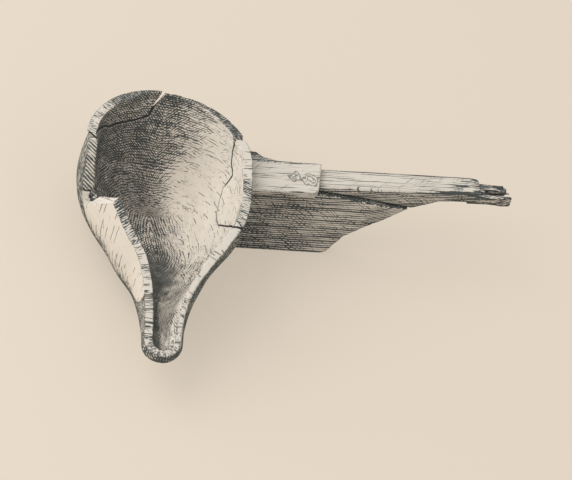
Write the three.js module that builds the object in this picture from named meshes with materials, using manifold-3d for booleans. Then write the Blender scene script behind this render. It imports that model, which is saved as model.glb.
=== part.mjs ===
// A carved wooden ladle: a deep round bowl with a long side spout, and a straight handle
// braced by a web. The vessel is old and broken, so each fragment is a solid of its own.
// Millimetres. X runs out along the handle, the spout points to -Y, Z is up.
// The origin is at the middle of the flat foot, under the axis of the bowl.

import * as THREE from "three";
import { mergeVertices } from "three/addons/utils/BufferGeometryUtils.js";
import Module from "manifold-3d";

const wasm = await Module();
wasm.setup();

// Bowl
const BOWL_RADIUS = 76.5;
const BOWL_BACK = 73.5;
const RIM_HEIGHT = 97;
const WALL = 9;
const FLOOR = 10;
const BELLY = 1.5;
const BELLY_SHARE = 0.7;
const LEFT_BELLY = 2.5;
const LEFT_BELLY_END = 90;
const FOOT_SHARE = 0.36;
const OUTER_ROUNDNESS = 3;
const INNER_ROUNDNESS = 2.4;

// The rim is thinnest at the back, and grows to the full wall over a span of bearings
const THIN_RIM = 1.8;
const THIN_RIM_BEARING = 95;
const THIN_RIM_LEFT = 30;
const THIN_RIM_RIGHT = 62;
const FLARE_SHARE = 0.35;

// Spout, measured from the bowl's axis towards the tip
const SPOUT_SKEW = 8.4;
const FLANK_LENGTH = 205;
const TIP_LENGTH = 20;
const TIP_LIP_DEPTH = 9;
const TIP_DEPTH = 14;
const SPOUT_RIM_DIP = 42;
const SPOUT_CHEEK = 8;
const CHEEK_START = 115;
const CHEEK_FULL = 165;
const CHEEK_END = 195;
const SPOUT_RIDGE = 4.5;
const LEFT_FLANK_ROUNDNESS = 2.7;
const RIGHT_FLANK_ROUNDNESS = 1.6;
const FLANK_ROUNDING_START = 20;
const FLANK_ROUNDING_FULL = 110;
const RIM_DIP_START = 50;
const KEEL_RISE_START = 45;
const KEEL_PULL_BOWL = 0.55;
const KEEL_PULL_TIP = 0.87;
const CHANNEL_FLOOR_SHARE = 0.12;

// Handle
const HANDLE_TOP_DROP = 20;
const SHAFT_BACK = 8;
const SHAFT_ROOT_WIDTH = 25;
const SHAFT_END_WIDTH = 21;
const SHAFT_END_DEPTH = 13;
const SHAFT_LENGTH = 328;
const SHAFT_EDGE_ROUND = 2.5;
const SHAFT_ROOT_DEPTH = 6.4;
const SHAFT_NECK = 264;
const SHAFT_TAIL_DROP = 5;
const SHAFT_TAIL_START = 284;
const SHAFT_STEP = 12;
const SHAFT_ROOT = 60;
const WEB_ROOT = 15;
const SPLIT_START = 139;
const SPLIT_STEPS = 8;
const SPLIT_SAG = 1.3;

// Block left on top of the handle's root
const BLOCK_TOP_DROP = 14.6;
const BLOCK_THICKNESS = 8.2;
const BLOCK_FRONT = 29.7;
const BLOCK_BACK = 8.6;
const BLOCK_END = 144;
const BLOCK_END_SKEW = 8;

// Web under the handle
const WEB_CORNER_REACH = 165;
const WEB_TIP_REACH = 233;
const WEB_TIP_DROP = 43.5;
const WEB_TOP_FRONT = 18.2;
const WEB_FOOT_FRONT = 25.5;
const WEB_FOOT_WIDTH = 11.5;
const WEB_TOP_WIDTH = 15;

// Broken pieces
const FRACTURE_GAP = 0.3;
const RIM_SHARD_SHIFT = 2.5;
const RIM_SHARD_BEARING = 134;
const RIM_SHARD_START = 15;
const LOST_WALL_START = 20;
const LOST_STEP_BEARING = 245;
const LOST_STEP_START = 46;
const FRONT_WALL_START = 2;
const HANDLE_SIDE_START = 30;
const LEFT = 180;
const RIGHT = 0;
const REACH = 150;

// Fineness of the lofts
const ARC_STEPS = 18;
const FLANK_STEPS = 24;
const TIP_STEPS = 6;
const OUTER_ROWS = 14;
const INNER_ROWS = 13;

const spoutReach = FLANK_LENGTH + TIP_LENGTH;

// Half widths at even places along the flanks, as shares of the bowl's radius.
const FLANK_LEFT = [1, 0.98, 0.882, 0.712, 0.549, 0.346, 0.255, 0.216, 0.209];
const FLANK_RIGHT = [1, 1, 0.987, 0.918, 0.745, 0.53, 0.34, 0.262, 0.245];

function toSolid(geometry) {
  const bare = geometry.clone();
  bare.deleteAttribute("normal");
  bare.deleteAttribute("uv");
  const welded = mergeVertices(bare, 1e-4);
  const mesh = new wasm.Mesh({
    numProp: 3,
    vertProperties: new Float32Array(welded.attributes.position.array),
    triVerts: new Uint32Array(welded.index.array),
  });
  mesh.merge();
  return new wasm.Manifold(mesh);
}

function toGeometry(solid) {
  const mesh = solid.getMesh();
  const geometry = new THREE.BufferGeometry();
  geometry.setAttribute("position", new THREE.BufferAttribute(new Float32Array(mesh.vertProperties), 3));
  geometry.setIndex(new THREE.BufferAttribute(new Uint32Array(mesh.triVerts), 1));
  geometry.computeVertexNormals();
  return geometry;
}

// A closed skin over a stack of rings that all run counterclockwise and have as many points.
// Every ring is mirror paired, so that its ends close with strips straight across.
function skinRings(rings) {
  const count = rings[0].length;
  const positions = rings.flat().flatMap((point) => [point.x, point.y, point.z]);
  const index = [];
  for (let row = 0; row < rings.length - 1; row += 1) {
    for (let place = 0; place < count; place += 1) {
      const next = (place + 1) % count;
      const [a, b] = [row * count + place, row * count + next];
      const [c, d] = [a + count, b + count];
      index.push(a, b, d, a, d, c);
    }
  }
  closeRing(index, 0, count, true);
  closeRing(index, (rings.length - 1) * count, count, false);
  const geometry = new THREE.BufferGeometry();
  geometry.setAttribute("position", new THREE.Float32BufferAttribute(positions, 3));
  geometry.setIndex(index);
  return geometry;
}

function closeRing(index, start, count, flipped) {
  const addTriangle = (a, b, c) => (flipped ? index.push(a, c, b) : index.push(a, b, c));
  for (let place = 0; place < count / 2; place += 1) {
    const left = start + place;
    const nextLeft = left + 1;
    const right = start + ((count - place) % count);
    const nextRight = start + count - place - 1;
    if (nextLeft !== nextRight) addTriangle(left, nextLeft, nextRight);
    if (left !== right) addTriangle(left, nextRight, right);
  }
}

// A smooth half width along the flank, from evenly spaced shares.
function alongFlank(shares) {
  const curve = new THREE.SplineCurve(shares.map((share, place) => new THREE.Vector2(place, share)));
  return (place) => BOWL_RADIUS * curve.getPoint(place).y;
}

const leftWidth = alongFlank(FLANK_LEFT);
const rightWidth = alongFlank(FLANK_RIGHT);

// Left and right points of the rim's outer outline, from the back of the bowl to the tip.
function outlineStations() {
  const stations = [];
  for (let step = 0; step < ARC_STEPS; step += 1) {
    const angle = (step / ARC_STEPS) * (Math.PI / 2);
    const width = BOWL_RADIUS * Math.sin(angle);
    stations.push({ y: BOWL_BACK * Math.cos(angle), left: -width, right: width });
  }
  for (let step = 0; step < FLANK_STEPS; step += 1) {
    const share = step / FLANK_STEPS;
    stations.push({ y: -FLANK_LENGTH * share, left: -leftWidth(share), right: rightWidth(share) });
  }
  const tipWidth = (leftWidth(1) + rightWidth(1)) / 2;
  const tipMiddle = (rightWidth(1) - leftWidth(1)) / 2;
  for (let step = 0; step <= TIP_STEPS; step += 1) {
    const angle = (step / TIP_STEPS) * (Math.PI / 2);
    const width = tipWidth * Math.cos(angle);
    const y = -FLANK_LENGTH - TIP_LENGTH * Math.sin(angle);
    stations.push({ y, left: tipMiddle - width, right: tipMiddle + width });
  }
  return stations;
}

// How far the inner edge of the rim is from the outer one.
function rimWidth(point) {
  const bearing = THREE.MathUtils.radToDeg(Math.atan2(point.y, point.x));
  const past = bearing - THIN_RIM_BEARING;
  const toLeft = THREE.MathUtils.smoothstep(past, 0, THIN_RIM_LEFT);
  const toRight = THREE.MathUtils.smoothstep(-past, 0, THIN_RIM_RIGHT);
  if (point.y > 0) return THIN_RIM + (WALL - THIN_RIM) * Math.max(toLeft, toRight);
  return point.x > point.middle ? WALL - (WALL - SPOUT_RIDGE) * cheekShare(point.y) : WALL;
}

// The outline as one counterclockwise loop: each point knows the middle of its station.
function outlineLoop(insetAt) {
  const stations = outlineStations();
  const middleOf = (station) => (station.left + station.right) / 2;
  const leftSide = stations.map((at) => ({ x: at.left, y: at.y, middle: middleOf(at) }));
  const rightSide = stations.slice(1, -1).map((at) => ({ x: at.right, y: at.y, middle: middleOf(at) }));
  const loop = [...leftSide, ...rightSide.reverse()];
  return loop.map((point, place) => {
    const before = loop[(place + loop.length - 1) % loop.length];
    const after = loop[(place + 1) % loop.length];
    const length = Math.hypot(after.x - before.x, after.y - before.y);
    const outX = (after.y - before.y) / length;
    const outY = -(after.x - before.x) / length;
    const inset = insetAt(point);
    return { ...point, x: point.x - inset * outX, y: point.y - inset * outY, stationY: point.y };
  });
}

function rimHeight(y) {
  return RIM_HEIGHT - SPOUT_RIM_DIP * THREE.MathUtils.smoothstep(-y, RIM_DIP_START, spoutReach);
}

function undersideHeight(y) {
  const rise = rimHeight(-spoutReach) - TIP_DEPTH;
  return rise * THREE.MathUtils.smoothstep(-y, KEEL_RISE_START, spoutReach);
}

function channelHeight(y) {
  const rise = rimHeight(-spoutReach) - TIP_LIP_DEPTH - FLOOR;
  return FLOOR + rise * THREE.MathUtils.smoothstep(-y, KEEL_RISE_START, spoutReach);
}

// The point on the keel line that the wall under this rim point curves in to.
function keelPoint(point) {
  const along = Math.min(0, point.stationY);
  const pull = KEEL_PULL_BOWL + (KEEL_PULL_TIP - KEEL_PULL_BOWL) * (-along / spoutReach);
  return { x: along < 0 ? point.middle : 0, y: along * pull };
}

// How much of the spout's cheek there is, from the throat to the tip.
function cheekShare(y) {
  const rise = THREE.MathUtils.smoothstep(-y, CHEEK_START, CHEEK_FULL);
  return rise * (1 - THREE.MathUtils.smoothstep(-y, CHEEK_END, spoutReach));
}

// How far the outside swells beyond its plain curve under a point of the rim.
function sideSwell(point, keel) {
  const across = point.x - keel.x;
  const toRight = THREE.MathUtils.clamp(across / SPOUT_CHEEK, 0, 1);
  const toLeft = THREE.MathUtils.clamp(-across / BOWL_RADIUS, 0, 1);
  const fading = 1 - THREE.MathUtils.smoothstep(-point.y, 0, LEFT_BELLY_END);
  return BELLY + SPOUT_CHEEK * cheekShare(point.y) * toRight + LEFT_BELLY * fading * toLeft;
}

// One ring of the wall at a share of its drop: 0 is the rim and 1 the foot.
function wallRing(loop, share, shape) {
  return loop.map((point) => {
    const keel = keelPoint(point);
    const power = 2 / shape.roundnessAt(point, keel);
    const lastAngle = Math.acos(shape.footShare ** (1 / power));
    const angle = share * lastAngle;
    const width = Math.cos(angle) ** power;
    const drop = Math.sin(angle) ** power / Math.sin(lastAngle) ** power;
    const [spanX, spanY] = [point.x - keel.x, point.y - keel.y];
    const span = Math.hypot(spanX, spanY);
    const bulge = Math.sin(Math.PI * Math.min(1, share / BELLY_SHARE));
    const swell = shape.swells ? sideSwell(point, keel) * bulge : 0;
    const reach = width + swell / span;
    const y = keel.y + spanY * reach;
    const top = rimHeight(point.y);
    const bottom = shape.floorHeight(shape.levelAcross ? y : keel.y);
    return new THREE.Vector3(keel.x + spanX * reach, y, top - (top - bottom) * drop);
  });
}

function wallRings(insetAt, shape, rows) {
  return Array.from({ length: rows + 1 }, (_, row) => {
    const share = row / rows;
    return wallRing(outlineLoop((point) => insetAt(point, share)), share, shape);
  });
}

// The inside flares out to the rim where the rim is thinner than the wall.
function insideInset(point, share) {
  const full = THREE.MathUtils.smoothstep(share, 0, FLARE_SHARE);
  return rimWidth(point) + (WALL - rimWidth(point)) * full;
}

// The outside is squarest round the bowl, and rounder along the spout's flanks.
function outerRoundness(point, keel) {
  const along = -point.stationY;
  const atTip = THREE.MathUtils.smoothstep(along, FLANK_LENGTH, spoutReach);
  const right = RIGHT_FLANK_ROUNDNESS + (LEFT_FLANK_ROUNDNESS - RIGHT_FLANK_ROUNDNESS) * atTip;
  const flank = point.x > keel.x ? right : LEFT_FLANK_ROUNDNESS;
  const share = THREE.MathUtils.smoothstep(along, FLANK_ROUNDING_START, FLANK_ROUNDING_FULL);
  return OUTER_ROUNDNESS + (flank - OUTER_ROUNDNESS) * share;
}

const OUTER_SHAPE = {
  roundnessAt: outerRoundness,
  footShare: FOOT_SHARE,
  floorHeight: undersideHeight,
  levelAcross: false,
  swells: true,
};
const INNER_SHAPE = {
  roundnessAt: () => INNER_ROUNDNESS,
  footShare: CHANNEL_FLOOR_SHARE,
  floorHeight: channelHeight,
  levelAcross: true,
  swells: false,
};

// The whole vessel before it broke: up the outside, over the rim and down the inside.
function vesselSolid() {
  const outside = wallRings(() => 0, OUTER_SHAPE, OUTER_ROWS).reverse();
  const inside = wallRings(insideInset, INNER_SHAPE, INNER_ROWS);
  return toSolid(skinRings([...outside, ...inside]));
}

// The vessel's full outer form, grown by a clearance, that the handle's parts are cut to.
function vesselClearance() {
  const outside = wallRings(() => -FRACTURE_GAP, OUTER_SHAPE, OUTER_ROWS).reverse();
  const geometry = skinRings(outside);
  geometry.rotateZ(-THREE.MathUtils.degToRad(SPOUT_SKEW));
  const hull = toSolid(geometry);
  return hull.add(hull.translate([0, 0, -FRACTURE_GAP]));
}

// A prism whose outline is drawn on an upright plane and pushed out along a bearing.
function prismAlong(bearing, outline, from, to) {
  const shape = new THREE.Shape(outline.map(([across, up]) => new THREE.Vector2(across, up)));
  const geometry = new THREE.ExtrudeGeometry(shape, { depth: to - from, bevelEnabled: false });
  const angle = THREE.MathUtils.degToRad(bearing);
  const out = new THREE.Vector3(Math.cos(angle), Math.sin(angle), 0);
  const across = new THREE.Vector3(-Math.sin(angle), Math.cos(angle), 0);
  const frame = new THREE.Matrix4().makeBasis(across, new THREE.Vector3(0, 0, 1), out);
  geometry.translate(0, 0, from);
  geometry.applyMatrix4(frame);
  return toSolid(geometry);
}

// A prism whose outline is drawn in plan, between two heights.
function prismUp(outline, bottom, top) {
  const shape = new THREE.Shape(outline.map(([x, y]) => new THREE.Vector2(x, y)));
  const geometry = new THREE.ExtrudeGeometry(shape, { depth: top - bottom, bevelEnabled: false });
  geometry.translate(0, 0, bottom);
  return toSolid(geometry);
}

// The same outline drawn in by a clearance on every side.
function drawnIn(outline, clearance) {
  const turn = Math.sign(THREE.ShapeUtils.area(outline.map(([x, y]) => new THREE.Vector2(x, y))));
  return outline.map((corner, place) => {
    const before = outline[(place + outline.length - 1) % outline.length];
    const after = outline[(place + 1) % outline.length];
    const [inX, inY] = mitre(before, corner, after);
    return [corner[0] + inX * clearance * turn, corner[1] + inY * clearance * turn];
  });
}

function mitre(before, corner, after) {
  const sideA = new THREE.Vector2(before[1] - corner[1], corner[0] - before[0]).normalize();
  const sideB = new THREE.Vector2(corner[1] - after[1], after[0] - corner[0]).normalize();
  const middle = sideA.clone().add(sideB).normalize();
  const stretch = 1 / Math.max(0.5, middle.dot(sideA));
  return [middle.x * stretch, middle.y * stretch];
}

// Break lines of the vessel, drawn as seen from outside: across as a share of the bowl's
// radius, then up as a share of the rim's height. ABOVE is clear of the rim.
const ABOVE = 1.155;
const rimTop = RIM_HEIGHT * ABOVE;

const RIM_SHARD_BREAK = [
  [-0.601, ABOVE],
  [-0.601, 0.969],
  [-0.549, 0.856],
  [-0.471, 0.722],
  [-0.288, 0.701],
  [-0.092, 0.722],
  [0.092, 0.737],
  [0.222, 0.804],
  [0.405, 0.866],
  [0.536, 0.907],
  [0.654, 0.969],
  [0.66, ABOVE],
];

const LOST_WALL_BREAK = [
  [0.039, ABOVE],
  [0.046, 0.99],
  [0.157, 0.907],
  [0.261, 0.814],
  [0.353, 0.701],
  [0.418, 0.608],
  [0.471, 0.541],
  [0.549, 0.526],
  [0.575, 0.557],
  [0.575, ABOVE],
];

const LOST_WALL_STEP = [
  [-0.601, 0.536],
  [-0.523, 0.629],
  [-0.366, 0.804],
  [-0.248, 0.918],
  [-0.163, 1.021],
  [-0.157, ABOVE],
  [-0.614, ABOVE],
];

// What has flaked off the outside of the rim shard, in plan: across, then out from the axis.
const RIM_SHARD_FLAKE = [
  [-0.288, 1.026],
  [-0.052, 1.007],
  [0.157, 0.98],
  [0.34, 0.928],
  [0.497, 0.863],
  [0.654, 0.778],
  [0.784, 0.843],
  [0.654, 1.118],
  [-0.288, 1.183],
];

const FRONT_WALL_BREAK = [
  [0.392, 0.588],
  [0.497, 0.794],
  [0.784, ABOVE],
  [2.065, ABOVE],
  [2.131, 0.825],
  [2.105, 0.66],
  [2.039, 0.515],
  [1.922, 0.433],
  [1.699, 0.371],
  [1.438, 0.32],
  [1.111, 0.299],
  [0.784, 0.34],
  [0.601, 0.423],
];

const HANDLE_SIDE_BREAK = [
  [0.373, ABOVE],
  [0.373, 0.948],
  [0.353, 0.845],
  [0.288, 0.742],
  [0.144, 0.691],
  [0.144, 0.505],
  [0, 0.433],
  [-0.183, 0.402],
  [-0.366, 0.412],
  [-0.503, 0.515],
  [-0.68, 0.66],
  [-0.889, 0.814],
  [-1.059, 0.938],
  [-1.111, ABOVE],
];

const RIM_CHIP = [
  [0.353, 0.876],
  [0.412, 0.969],
  [0.431, ABOVE],
  [0.314, ABOVE],
  [0.34, 0.979],
];

function breakPrism(bearing, outline, from, inset = 0) {
  const drawn = outline.map(([across, up]) => [BOWL_RADIUS * across, RIM_HEIGHT * up]);
  return prismAlong(bearing, drawnIn(drawn, inset), from, REACH);
}

const vessel = vesselSolid()
  .subtract(breakPrism(LEFT, LOST_WALL_BREAK, LOST_WALL_START))
  .subtract(breakPrism(LOST_STEP_BEARING, LOST_WALL_STEP, LOST_STEP_START));
const clearance = vesselClearance();

function shardOf(bearing, outline, from) {
  return vessel.intersect(breakPrism(bearing, outline, from, FRACTURE_GAP));
}

function bowlBody() {
  const breaks = [
    breakPrism(RIM_SHARD_BEARING, RIM_SHARD_BREAK, RIM_SHARD_START),
    breakPrism(LEFT, FRONT_WALL_BREAK, FRONT_WALL_START),
    breakPrism(RIGHT, HANDLE_SIDE_BREAK, HANDLE_SIDE_START),
    breakPrism(RIGHT, RIM_CHIP, HANDLE_SIDE_START),
  ];
  return breaks.reduce((body, cut) => body.subtract(cut), vessel);
}

function backRimShard() {
  const angle = THREE.MathUtils.degToRad(RIM_SHARD_BEARING);
  const plan = RIM_SHARD_FLAKE.map(([across, out]) => [BOWL_RADIUS * out, BOWL_RADIUS * across]);
  const flake = prismUp(plan, 0, rimTop).rotate([0, 0, RIM_SHARD_BEARING]);
  const shard = shardOf(RIM_SHARD_BEARING, RIM_SHARD_BREAK, RIM_SHARD_START).subtract(flake);
  return shard.translate([RIM_SHARD_SHIFT * Math.cos(angle), RIM_SHARD_SHIFT * Math.sin(angle), 0]);
}

function frontWallShard() {
  return shardOf(LEFT, FRONT_WALL_BREAK, FRONT_WALL_START);
}

function handleSideShard() {
  return shardOf(RIGHT, HANDLE_SIDE_BREAK, HANDLE_SIDE_START);
}

// Handle

const shaftTop = RIM_HEIGHT - HANDLE_TOP_DROP;
const blockTop = RIM_HEIGHT - BLOCK_TOP_DROP;
const blockBottom = blockTop - BLOCK_THICKNESS;

// Depth of the shaft under its top: a thin wedge at the root, deepest where the web ends.
function shaftDepth(x) {
  const deepest = WEB_TIP_DROP - HANDLE_TOP_DROP;
  if (x <= WEB_TIP_REACH) {
    const share = THREE.MathUtils.clamp((x - SPLIT_START) / (WEB_TIP_REACH - SPLIT_START), 0, 1);
    return SHAFT_ROOT_DEPTH + (deepest - SHAFT_ROOT_DEPTH) * share ** SPLIT_SAG;
  }
  const thinned = THREE.MathUtils.smoothstep(x, WEB_TIP_REACH, SHAFT_NECK);
  const dropped = THREE.MathUtils.smoothstep(x, SHAFT_TAIL_START, SHAFT_LENGTH);
  return deepest - (deepest - SHAFT_END_DEPTH) * thinned + SHAFT_TAIL_DROP * dropped;
}

// The split between shaft and web, from the web's tip back to the block.
function splitLine() {
  const span = WEB_TIP_REACH - SPLIT_START;
  return Array.from({ length: SPLIT_STEPS + 1 }, (_, step) => {
    const x = WEB_TIP_REACH - (span * step) / SPLIT_STEPS;
    return [x, shaftTop - shaftDepth(x)];
  });
}

function shaftWidth(x) {
  const share = THREE.MathUtils.clamp((x - BLOCK_END) / (SHAFT_LENGTH - BLOCK_END), 0, 1);
  return SHAFT_ROOT_WIDTH + (SHAFT_END_WIDTH - SHAFT_ROOT_WIDTH) * share;
}

// A rounded rectangle across the handle at one place, counterclockwise from its far end.
function shaftSection(x, clear) {
  const top = shaftTop + clear;
  const bottom = shaftTop - shaftDepth(x) - clear;
  const back = SHAFT_BACK + clear;
  const front = SHAFT_BACK - shaftWidth(x) - clear;
  const round = Math.min(SHAFT_EDGE_ROUND, (top - bottom) / 2.5);
  const corners = [
    [front + round, bottom + round, Math.PI],
    [back - round, bottom + round, 1.5 * Math.PI],
    [back - round, top - round, 0],
    [front + round, top - round, 0.5 * Math.PI],
  ];
  return corners.flatMap(([y, z, start]) => [0, 1, 2].map((step) => {
    const angle = start + (step * Math.PI) / 4;
    return new THREE.Vector3(x, y + round * Math.cos(angle), z + round * Math.sin(angle));
  }));
}

function shaftRod(clear) {
  const stations = [SHAFT_ROOT];
  for (let x = SPLIT_START; x < SHAFT_LENGTH; x += SHAFT_STEP) stations.push(x);
  stations.push(SHAFT_LENGTH);
  return toSolid(skinRings(stations.map((x) => shaftSection(x, clear))));
}

// What the splintered end has lost, in plan and from the side.
function endBreaks() {
  const plan = [
    [SHAFT_LENGTH + 5, 20],
    [SHAFT_LENGTH - 38, 20],
    [SHAFT_LENGTH - 35, 6.5],
    [SHAFT_LENGTH - 26, 4],
    [SHAFT_LENGTH - 6, 3],
    [SHAFT_LENGTH - 3.5, 0.5],
    [SHAFT_LENGTH - 6, -3],
    [SHAFT_LENGTH - 24, -4.5],
    [SHAFT_LENGTH - 29, -6],
    [SHAFT_LENGTH - 20, -7.5],
    [SHAFT_LENGTH - 3, -8],
    [SHAFT_LENGTH + 5, -9],
  ];
  const front = [
    [SHAFT_LENGTH + 5, -9.5],
    [SHAFT_LENGTH - 2, -10.5],
    [SHAFT_LENGTH - 8, -12],
    [SHAFT_LENGTH - 16, -12.5],
    [SHAFT_LENGTH - 12, -20],
    [SHAFT_LENGTH + 5, -20],
  ];
  const lamina = [
    [SHAFT_LENGTH + 5, shaftTop + 5],
    [SHAFT_LENGTH - 32, shaftTop + 5],
    [SHAFT_LENGTH - 31, shaftTop - 2],
    [SHAFT_LENGTH - 36, shaftTop - 4.2],
    [SHAFT_LENGTH - 22, shaftTop - 5],
    [SHAFT_LENGTH + 5, shaftTop - 7],
  ];
  const cuts = [
    prismUp(plan, 0, rimTop),
    prismUp(front, 0, rimTop),
    prismAcross(lamina, -BOWL_RADIUS, BOWL_RADIUS),
  ];
  return cuts.reduce((all, cut) => all.add(cut));
}

function handleShaft() {
  return shaftRod(0).subtract(clearance).subtract(endBreaks());
}

function handleWeb() {
  const side = [
    [WEB_ROOT, 0],
    [WEB_CORNER_REACH - 5, 0],
    [WEB_CORNER_REACH, 2],
    [WEB_CORNER_REACH + 5, 10],
    [WEB_CORNER_REACH + 13, 21.5],
    [WEB_CORNER_REACH + 28, 31],
    [WEB_CORNER_REACH + 47, 40.5],
    ...splitLine(),
    [WEB_ROOT, shaftTop - SHAFT_ROOT_DEPTH],
  ];
  const wedge = [
    [-WEB_FOOT_FRONT, 0],
    [-WEB_FOOT_FRONT + WEB_FOOT_WIDTH, 0],
    [WEB_TOP_WIDTH - WEB_TOP_FRONT, shaftTop],
    [-WEB_TOP_FRONT, shaftTop],
  ];
  const tipFront = shaftWidth(WEB_TIP_REACH) - SHAFT_BACK + FRACTURE_GAP;
  const plan = [
    [WEB_ROOT, -WEB_FOOT_FRONT],
    [WEB_CORNER_REACH, -WEB_FOOT_FRONT],
    [WEB_TIP_REACH, -tipFront],
    [WEB_TIP_REACH, SHAFT_BACK],
    [WEB_ROOT, SHAFT_BACK],
  ];
  const blade = prismAcross(side, -BOWL_RADIUS, BOWL_RADIUS)
    .intersect(prismAlong(RIGHT, wedge, 0, SHAFT_LENGTH))
    .intersect(prismUp(plan, 0, shaftTop));
  return blade.subtract(shaftRod(FRACTURE_GAP)).subtract(clearance);
}

function handleRootBlock() {
  const plan = [
    [SHAFT_ROOT, -BLOCK_FRONT],
    [BLOCK_END - BLOCK_END_SKEW / 2 - 4, -BLOCK_FRONT],
    [BLOCK_END - BLOCK_END_SKEW / 2, -BLOCK_FRONT + 4],
    [BLOCK_END + BLOCK_END_SKEW / 2, BLOCK_BACK],
    [106, BLOCK_BACK + 0.6],
    [99, BLOCK_BACK + 3],
    [92, BLOCK_BACK + 5.5],
    [87, BLOCK_BACK + 11],
    [80, BLOCK_BACK + 12.5],
    [SHAFT_ROOT, BLOCK_BACK + 12.5],
  ];
  const slab = prismUp(plan, blockBottom, blockTop);
  return slab.subtract(shaftRod(FRACTURE_GAP)).subtract(clearance);
}

// A prism whose outline is drawn from the side, along and up, and that runs across.
function prismAcross(outline, front, back) {
  const shape = new THREE.Shape(outline.map(([x, z]) => new THREE.Vector2(x, z)));
  const geometry = new THREE.ExtrudeGeometry(shape, { depth: back - front, bevelEnabled: false });
  geometry.rotateX(Math.PI / 2);
  geometry.translate(0, back, 0);
  return toSolid(geometry);
}

function wood(color, roughness) {
  return new THREE.MeshStandardMaterial({ color, roughness, metalness: 0 });
}

const paleWood = wood(0xcdb792, 0.8);
const warmWood = wood(0xc2a67c, 0.8);
const greyWood = wood(0xa38b68, 0.85);

function addPiece(parent, name, solid, material) {
  const mesh = new THREE.Mesh(toGeometry(solid), material);
  mesh.name = name;
  parent.add(mesh);
}

const ladle = new THREE.Group();
const bowl = new THREE.Group();
const handle = new THREE.Group();
bowl.rotation.z = -THREE.MathUtils.degToRad(SPOUT_SKEW);
ladle.add(bowl, handle);

addPiece(bowl, "bowl_body", bowlBody(), paleWood);
addPiece(bowl, "back_rim_shard", backRimShard(), greyWood);
addPiece(bowl, "front_left_wall_shard", frontWallShard(), warmWood);
addPiece(bowl, "handle_side_wall_shard", handleSideShard(), warmWood);
addPiece(handle, "handle_root_block", handleRootBlock(), paleWood);
addPiece(handle, "handle_shaft", handleShaft(), warmWood);
addPiece(handle, "handle_web", handleWeb(), greyWood);

export default ladle;
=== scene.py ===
"""The looks of an old, broken wooden ladle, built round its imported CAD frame.

Each fragment starts as a merged copy of its CAD node. It is cut into small even faces, laid onto
the smooth form that the carver left, torn where the wood broke, and given a wood of its own.
Lengths are in metres, X runs out along the handle, the spout points to -Y and Z is up.
"""

import logging
import math
import random
from dataclasses import dataclass, field
from enum import Enum

import bmesh
import bpy
import numpy as np
from mathutils import Matrix, Vector, noise
from mathutils.bvhtree import BVHTree

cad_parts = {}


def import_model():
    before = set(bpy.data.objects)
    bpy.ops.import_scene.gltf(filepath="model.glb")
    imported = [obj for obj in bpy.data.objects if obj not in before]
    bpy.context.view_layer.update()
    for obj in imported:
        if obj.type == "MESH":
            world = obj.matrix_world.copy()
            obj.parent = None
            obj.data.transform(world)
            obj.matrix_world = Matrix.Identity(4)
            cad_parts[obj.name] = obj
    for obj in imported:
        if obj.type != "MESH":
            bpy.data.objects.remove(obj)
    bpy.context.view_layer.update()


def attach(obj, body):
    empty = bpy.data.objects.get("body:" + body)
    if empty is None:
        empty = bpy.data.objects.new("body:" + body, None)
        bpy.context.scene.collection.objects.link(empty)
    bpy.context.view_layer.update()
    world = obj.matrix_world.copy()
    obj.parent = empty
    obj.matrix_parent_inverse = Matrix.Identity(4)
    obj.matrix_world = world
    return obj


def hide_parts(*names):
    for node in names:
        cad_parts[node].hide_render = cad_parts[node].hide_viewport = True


LOG = logging.getLogger("ladle")
MM = 0.001
SAME_PLACE = 1e-6

Span = tuple[float, float]
Place = tuple[float, float, float]
Curve = tuple[Span, ...]
Port = bpy.types.NodeSocket


class Mark(Enum):
    """What each point of a fragment knows about itself, kept as attributes of its mesh."""

    AROUND = "around"
    DOWN = "down"
    INSIDE = "inside"
    BROKEN = "broken"
    EDGE = "edge"
    # Painted shade from how each face turns to the light, with the wood's own darker marks.
    TONE = "tone"
    CRACK = "crack"
    RIM = "rim"


def smoothstep(value: np.ndarray, low: float, high: float) -> np.ndarray:
    """A soft step from 0 at low to 1 at high.

    Args:
        value: Where to take the step.
        low: Value at which the step starts.
        high: Value at which the step ends.

    Returns:
        The height of the step at each value.
    """
    share = np.clip((np.asarray(value, float) - low) / (high - low), 0.0, 1.0)
    return share * share * (3.0 - 2.0 * share)


def blend(low: np.ndarray, high: np.ndarray, share: np.ndarray) -> np.ndarray:
    """Mixes two values by a share between 0 and 1."""
    return low + (high - low) * share


def fade(value: np.ndarray, low: float, high: float) -> np.ndarray:
    """A soft step down from 1 at low to 0 at high."""
    return 1 - smoothstep(value, low, high)


def curve_at(value: np.ndarray, curve: Curve) -> np.ndarray:
    """Reads a curve, given as pairs of place and height, at each value."""
    return np.interp(value, *np.transpose(curve))


@dataclass(frozen=True)
class Grain:
    """Soft noise with lumps of one size along X, Y and Z. The shift keeps it apart from the other noises."""

    size: Place
    shift: float

    def at(self, points: np.ndarray, seed: float) -> np.ndarray:
        """The noise at each point, between -1 and 1.

        Args:
            points: One row of X, Y and Z for each point.
            seed: Seed of the fragment.

        Returns:
            The noise at each point.
        """
        scaled = points / np.array(self.size) + (seed + self.shift)
        return np.array([noise.noise(Vector(row)) for row in scaled])


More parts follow.
